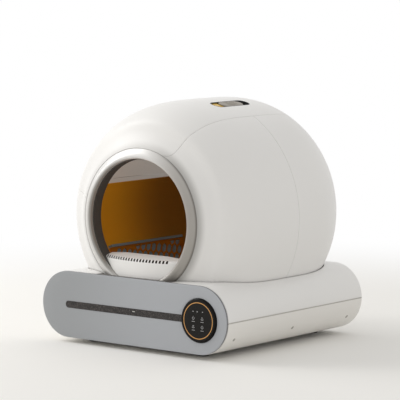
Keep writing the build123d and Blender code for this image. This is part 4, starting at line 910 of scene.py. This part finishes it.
stage = {
    "floorSize": 30000, "floorColour": (0.92, 0.91, 0.885), "floorRoughness": 0.9,
    "floorCloudScale": 3, "floorCloudTint": 0.985, "floorGrainScale": 300, "floorGrainDepth": 0.0001,
    "floorGrainRoughness": 0.1, "shadowReach": (0.8, 2.0),
    "white": (1, 1, 1, 1), "skyColour": (1, 0.99, 0.97, 1), "worldStrength": 0.715,
    "lampAim": (0, 0, 0.3),
}


def seenDirectly(finish):
    # 1 for rays from the camera and in mirrors and glass, 0 for light on its way to a surface
    kinds = ("Is Camera Ray", "Is Glossy Ray", "Is Transmission Ray")
    camera, glossy, transmission = (finish.node("ShaderNodeLightPath", {}, {}, kind) for kind in kinds)
    either = finish.maths("MAXIMUM", camera, glossy)
    return finish.maths("MAXIMUM", either, transmission)


def floorFinish(name, values):
    # a plain floor that keeps the shadow near the object and fades to white further out
    made = Finish(name)
    cloud = made.noise(values["floorCloudScale"], 3)
    grain = made.noise(values["floorGrainScale"], 3)
    cloudColour = scaled(values["floorColour"], values["floorCloudTint"])
    inputs = {
        "Base Color": made.blend(cloud, values["floorColour"], cloudColour),
        "Roughness": values["floorRoughness"] + sway(grain, values["floorGrainRoughness"]),
        "Normal": made.bump(grain, values["floorGrainDepth"]),
    }
    plain = made.node("ShaderNodeBsdfPrincipled", {}, inputs)
    white = made.node("ShaderNodeEmission", {}, {"Color": values["white"], "Strength": 1})
    share = made.step(made.length(made.place), *values["shadowReach"]) * seenDirectly(made)
    mixed = made.node("ShaderNodeMixShader", {}, {0: share, 1: plain, 2: white})
    made.node("ShaderNodeOutputMaterial", {}, {"Surface": mixed})
    return made.material


half = stage["floorSize"] / 2
floor = newObject("floor", [(-half, -half, 0), (half, -half, 0), (half, half, 0), (-half, half, 0)],
                  [(0, 1, 2, 3)], floorFinish("floor_finish", stage))

world = bpy.data.worlds.new("studio")
bpy.context.scene.world = world
world.use_nodes = True


class Sky(Finish):
    # the world's nodes, made by the same method
    def __init__(self, tree):
        self.tree = tree
        self.tree.nodes.clear()


sky = Sky(world.node_tree)
softSettings = {"Color": stage["skyColour"], "Strength": stage["worldStrength"]}
softLight = sky.node("ShaderNodeBackground", {}, softSettings)
whiteWall = sky.node("ShaderNodeBackground", {}, {"Color": stage["white"], "Strength": 1})
skyMix = sky.node("ShaderNodeMixShader", {}, {0: seenDirectly(sky), 1: softLight, 2: whiteWall})
sky.node("ShaderNodeOutputWorld", {}, {"Surface": skyMix})

lamps = {
    "left_light": {"at": (-2.4, -0.6, 2.4), "size": 1.8, "power": 31.5, "colour": (1, 0.99, 0.975)},
    "front_light": {"at": (-3.0, -1.8, 1.3), "size": 1.2, "power": 21, "colour": (1, 0.99, 0.975)},
}
for lampName, lamp in lamps.items():
    lampData = bpy.data.lights.new(lampName, "AREA")
    lampData.energy = lamp["power"]
    lampData.size = lamp["size"]
    lampData.color = lamp["colour"]
    lampObject = bpy.data.objects.new(lampName, lampData)
    lampObject.location = lamp["at"]
    aim = Vector(stage["lampAim"]) - Vector(lamp["at"])
    lampObject.rotation_euler = aim.to_track_quat("-Z", "Y").to_euler()
    bpy.context.scene.collection.objects.link(lampObject)

view = {"at": (3.5711, -4.4602, 0.9421), "yaw": 38.75, "pitch": 6.10, "lens": 216, "sensor": 36, "reach": 60}
cameraData = bpy.data.cameras.new("camera")
cameraData.lens = view["lens"]
cameraData.sensor_width = view["sensor"]
cameraData.clip_end = view["reach"]
camera = bpy.data.objects.new("camera", cameraData)
camera.location = view["at"]
camera.rotation_euler = (radians(90 - view["pitch"]), 0, radians(view["yaw"]))
bpy.context.scene.collection.objects.link(camera)
bpy.context.scene.camera = camera
bpy.context.scene.view_settings.view_transform = "Standard"
print("stage, lights and camera ready")
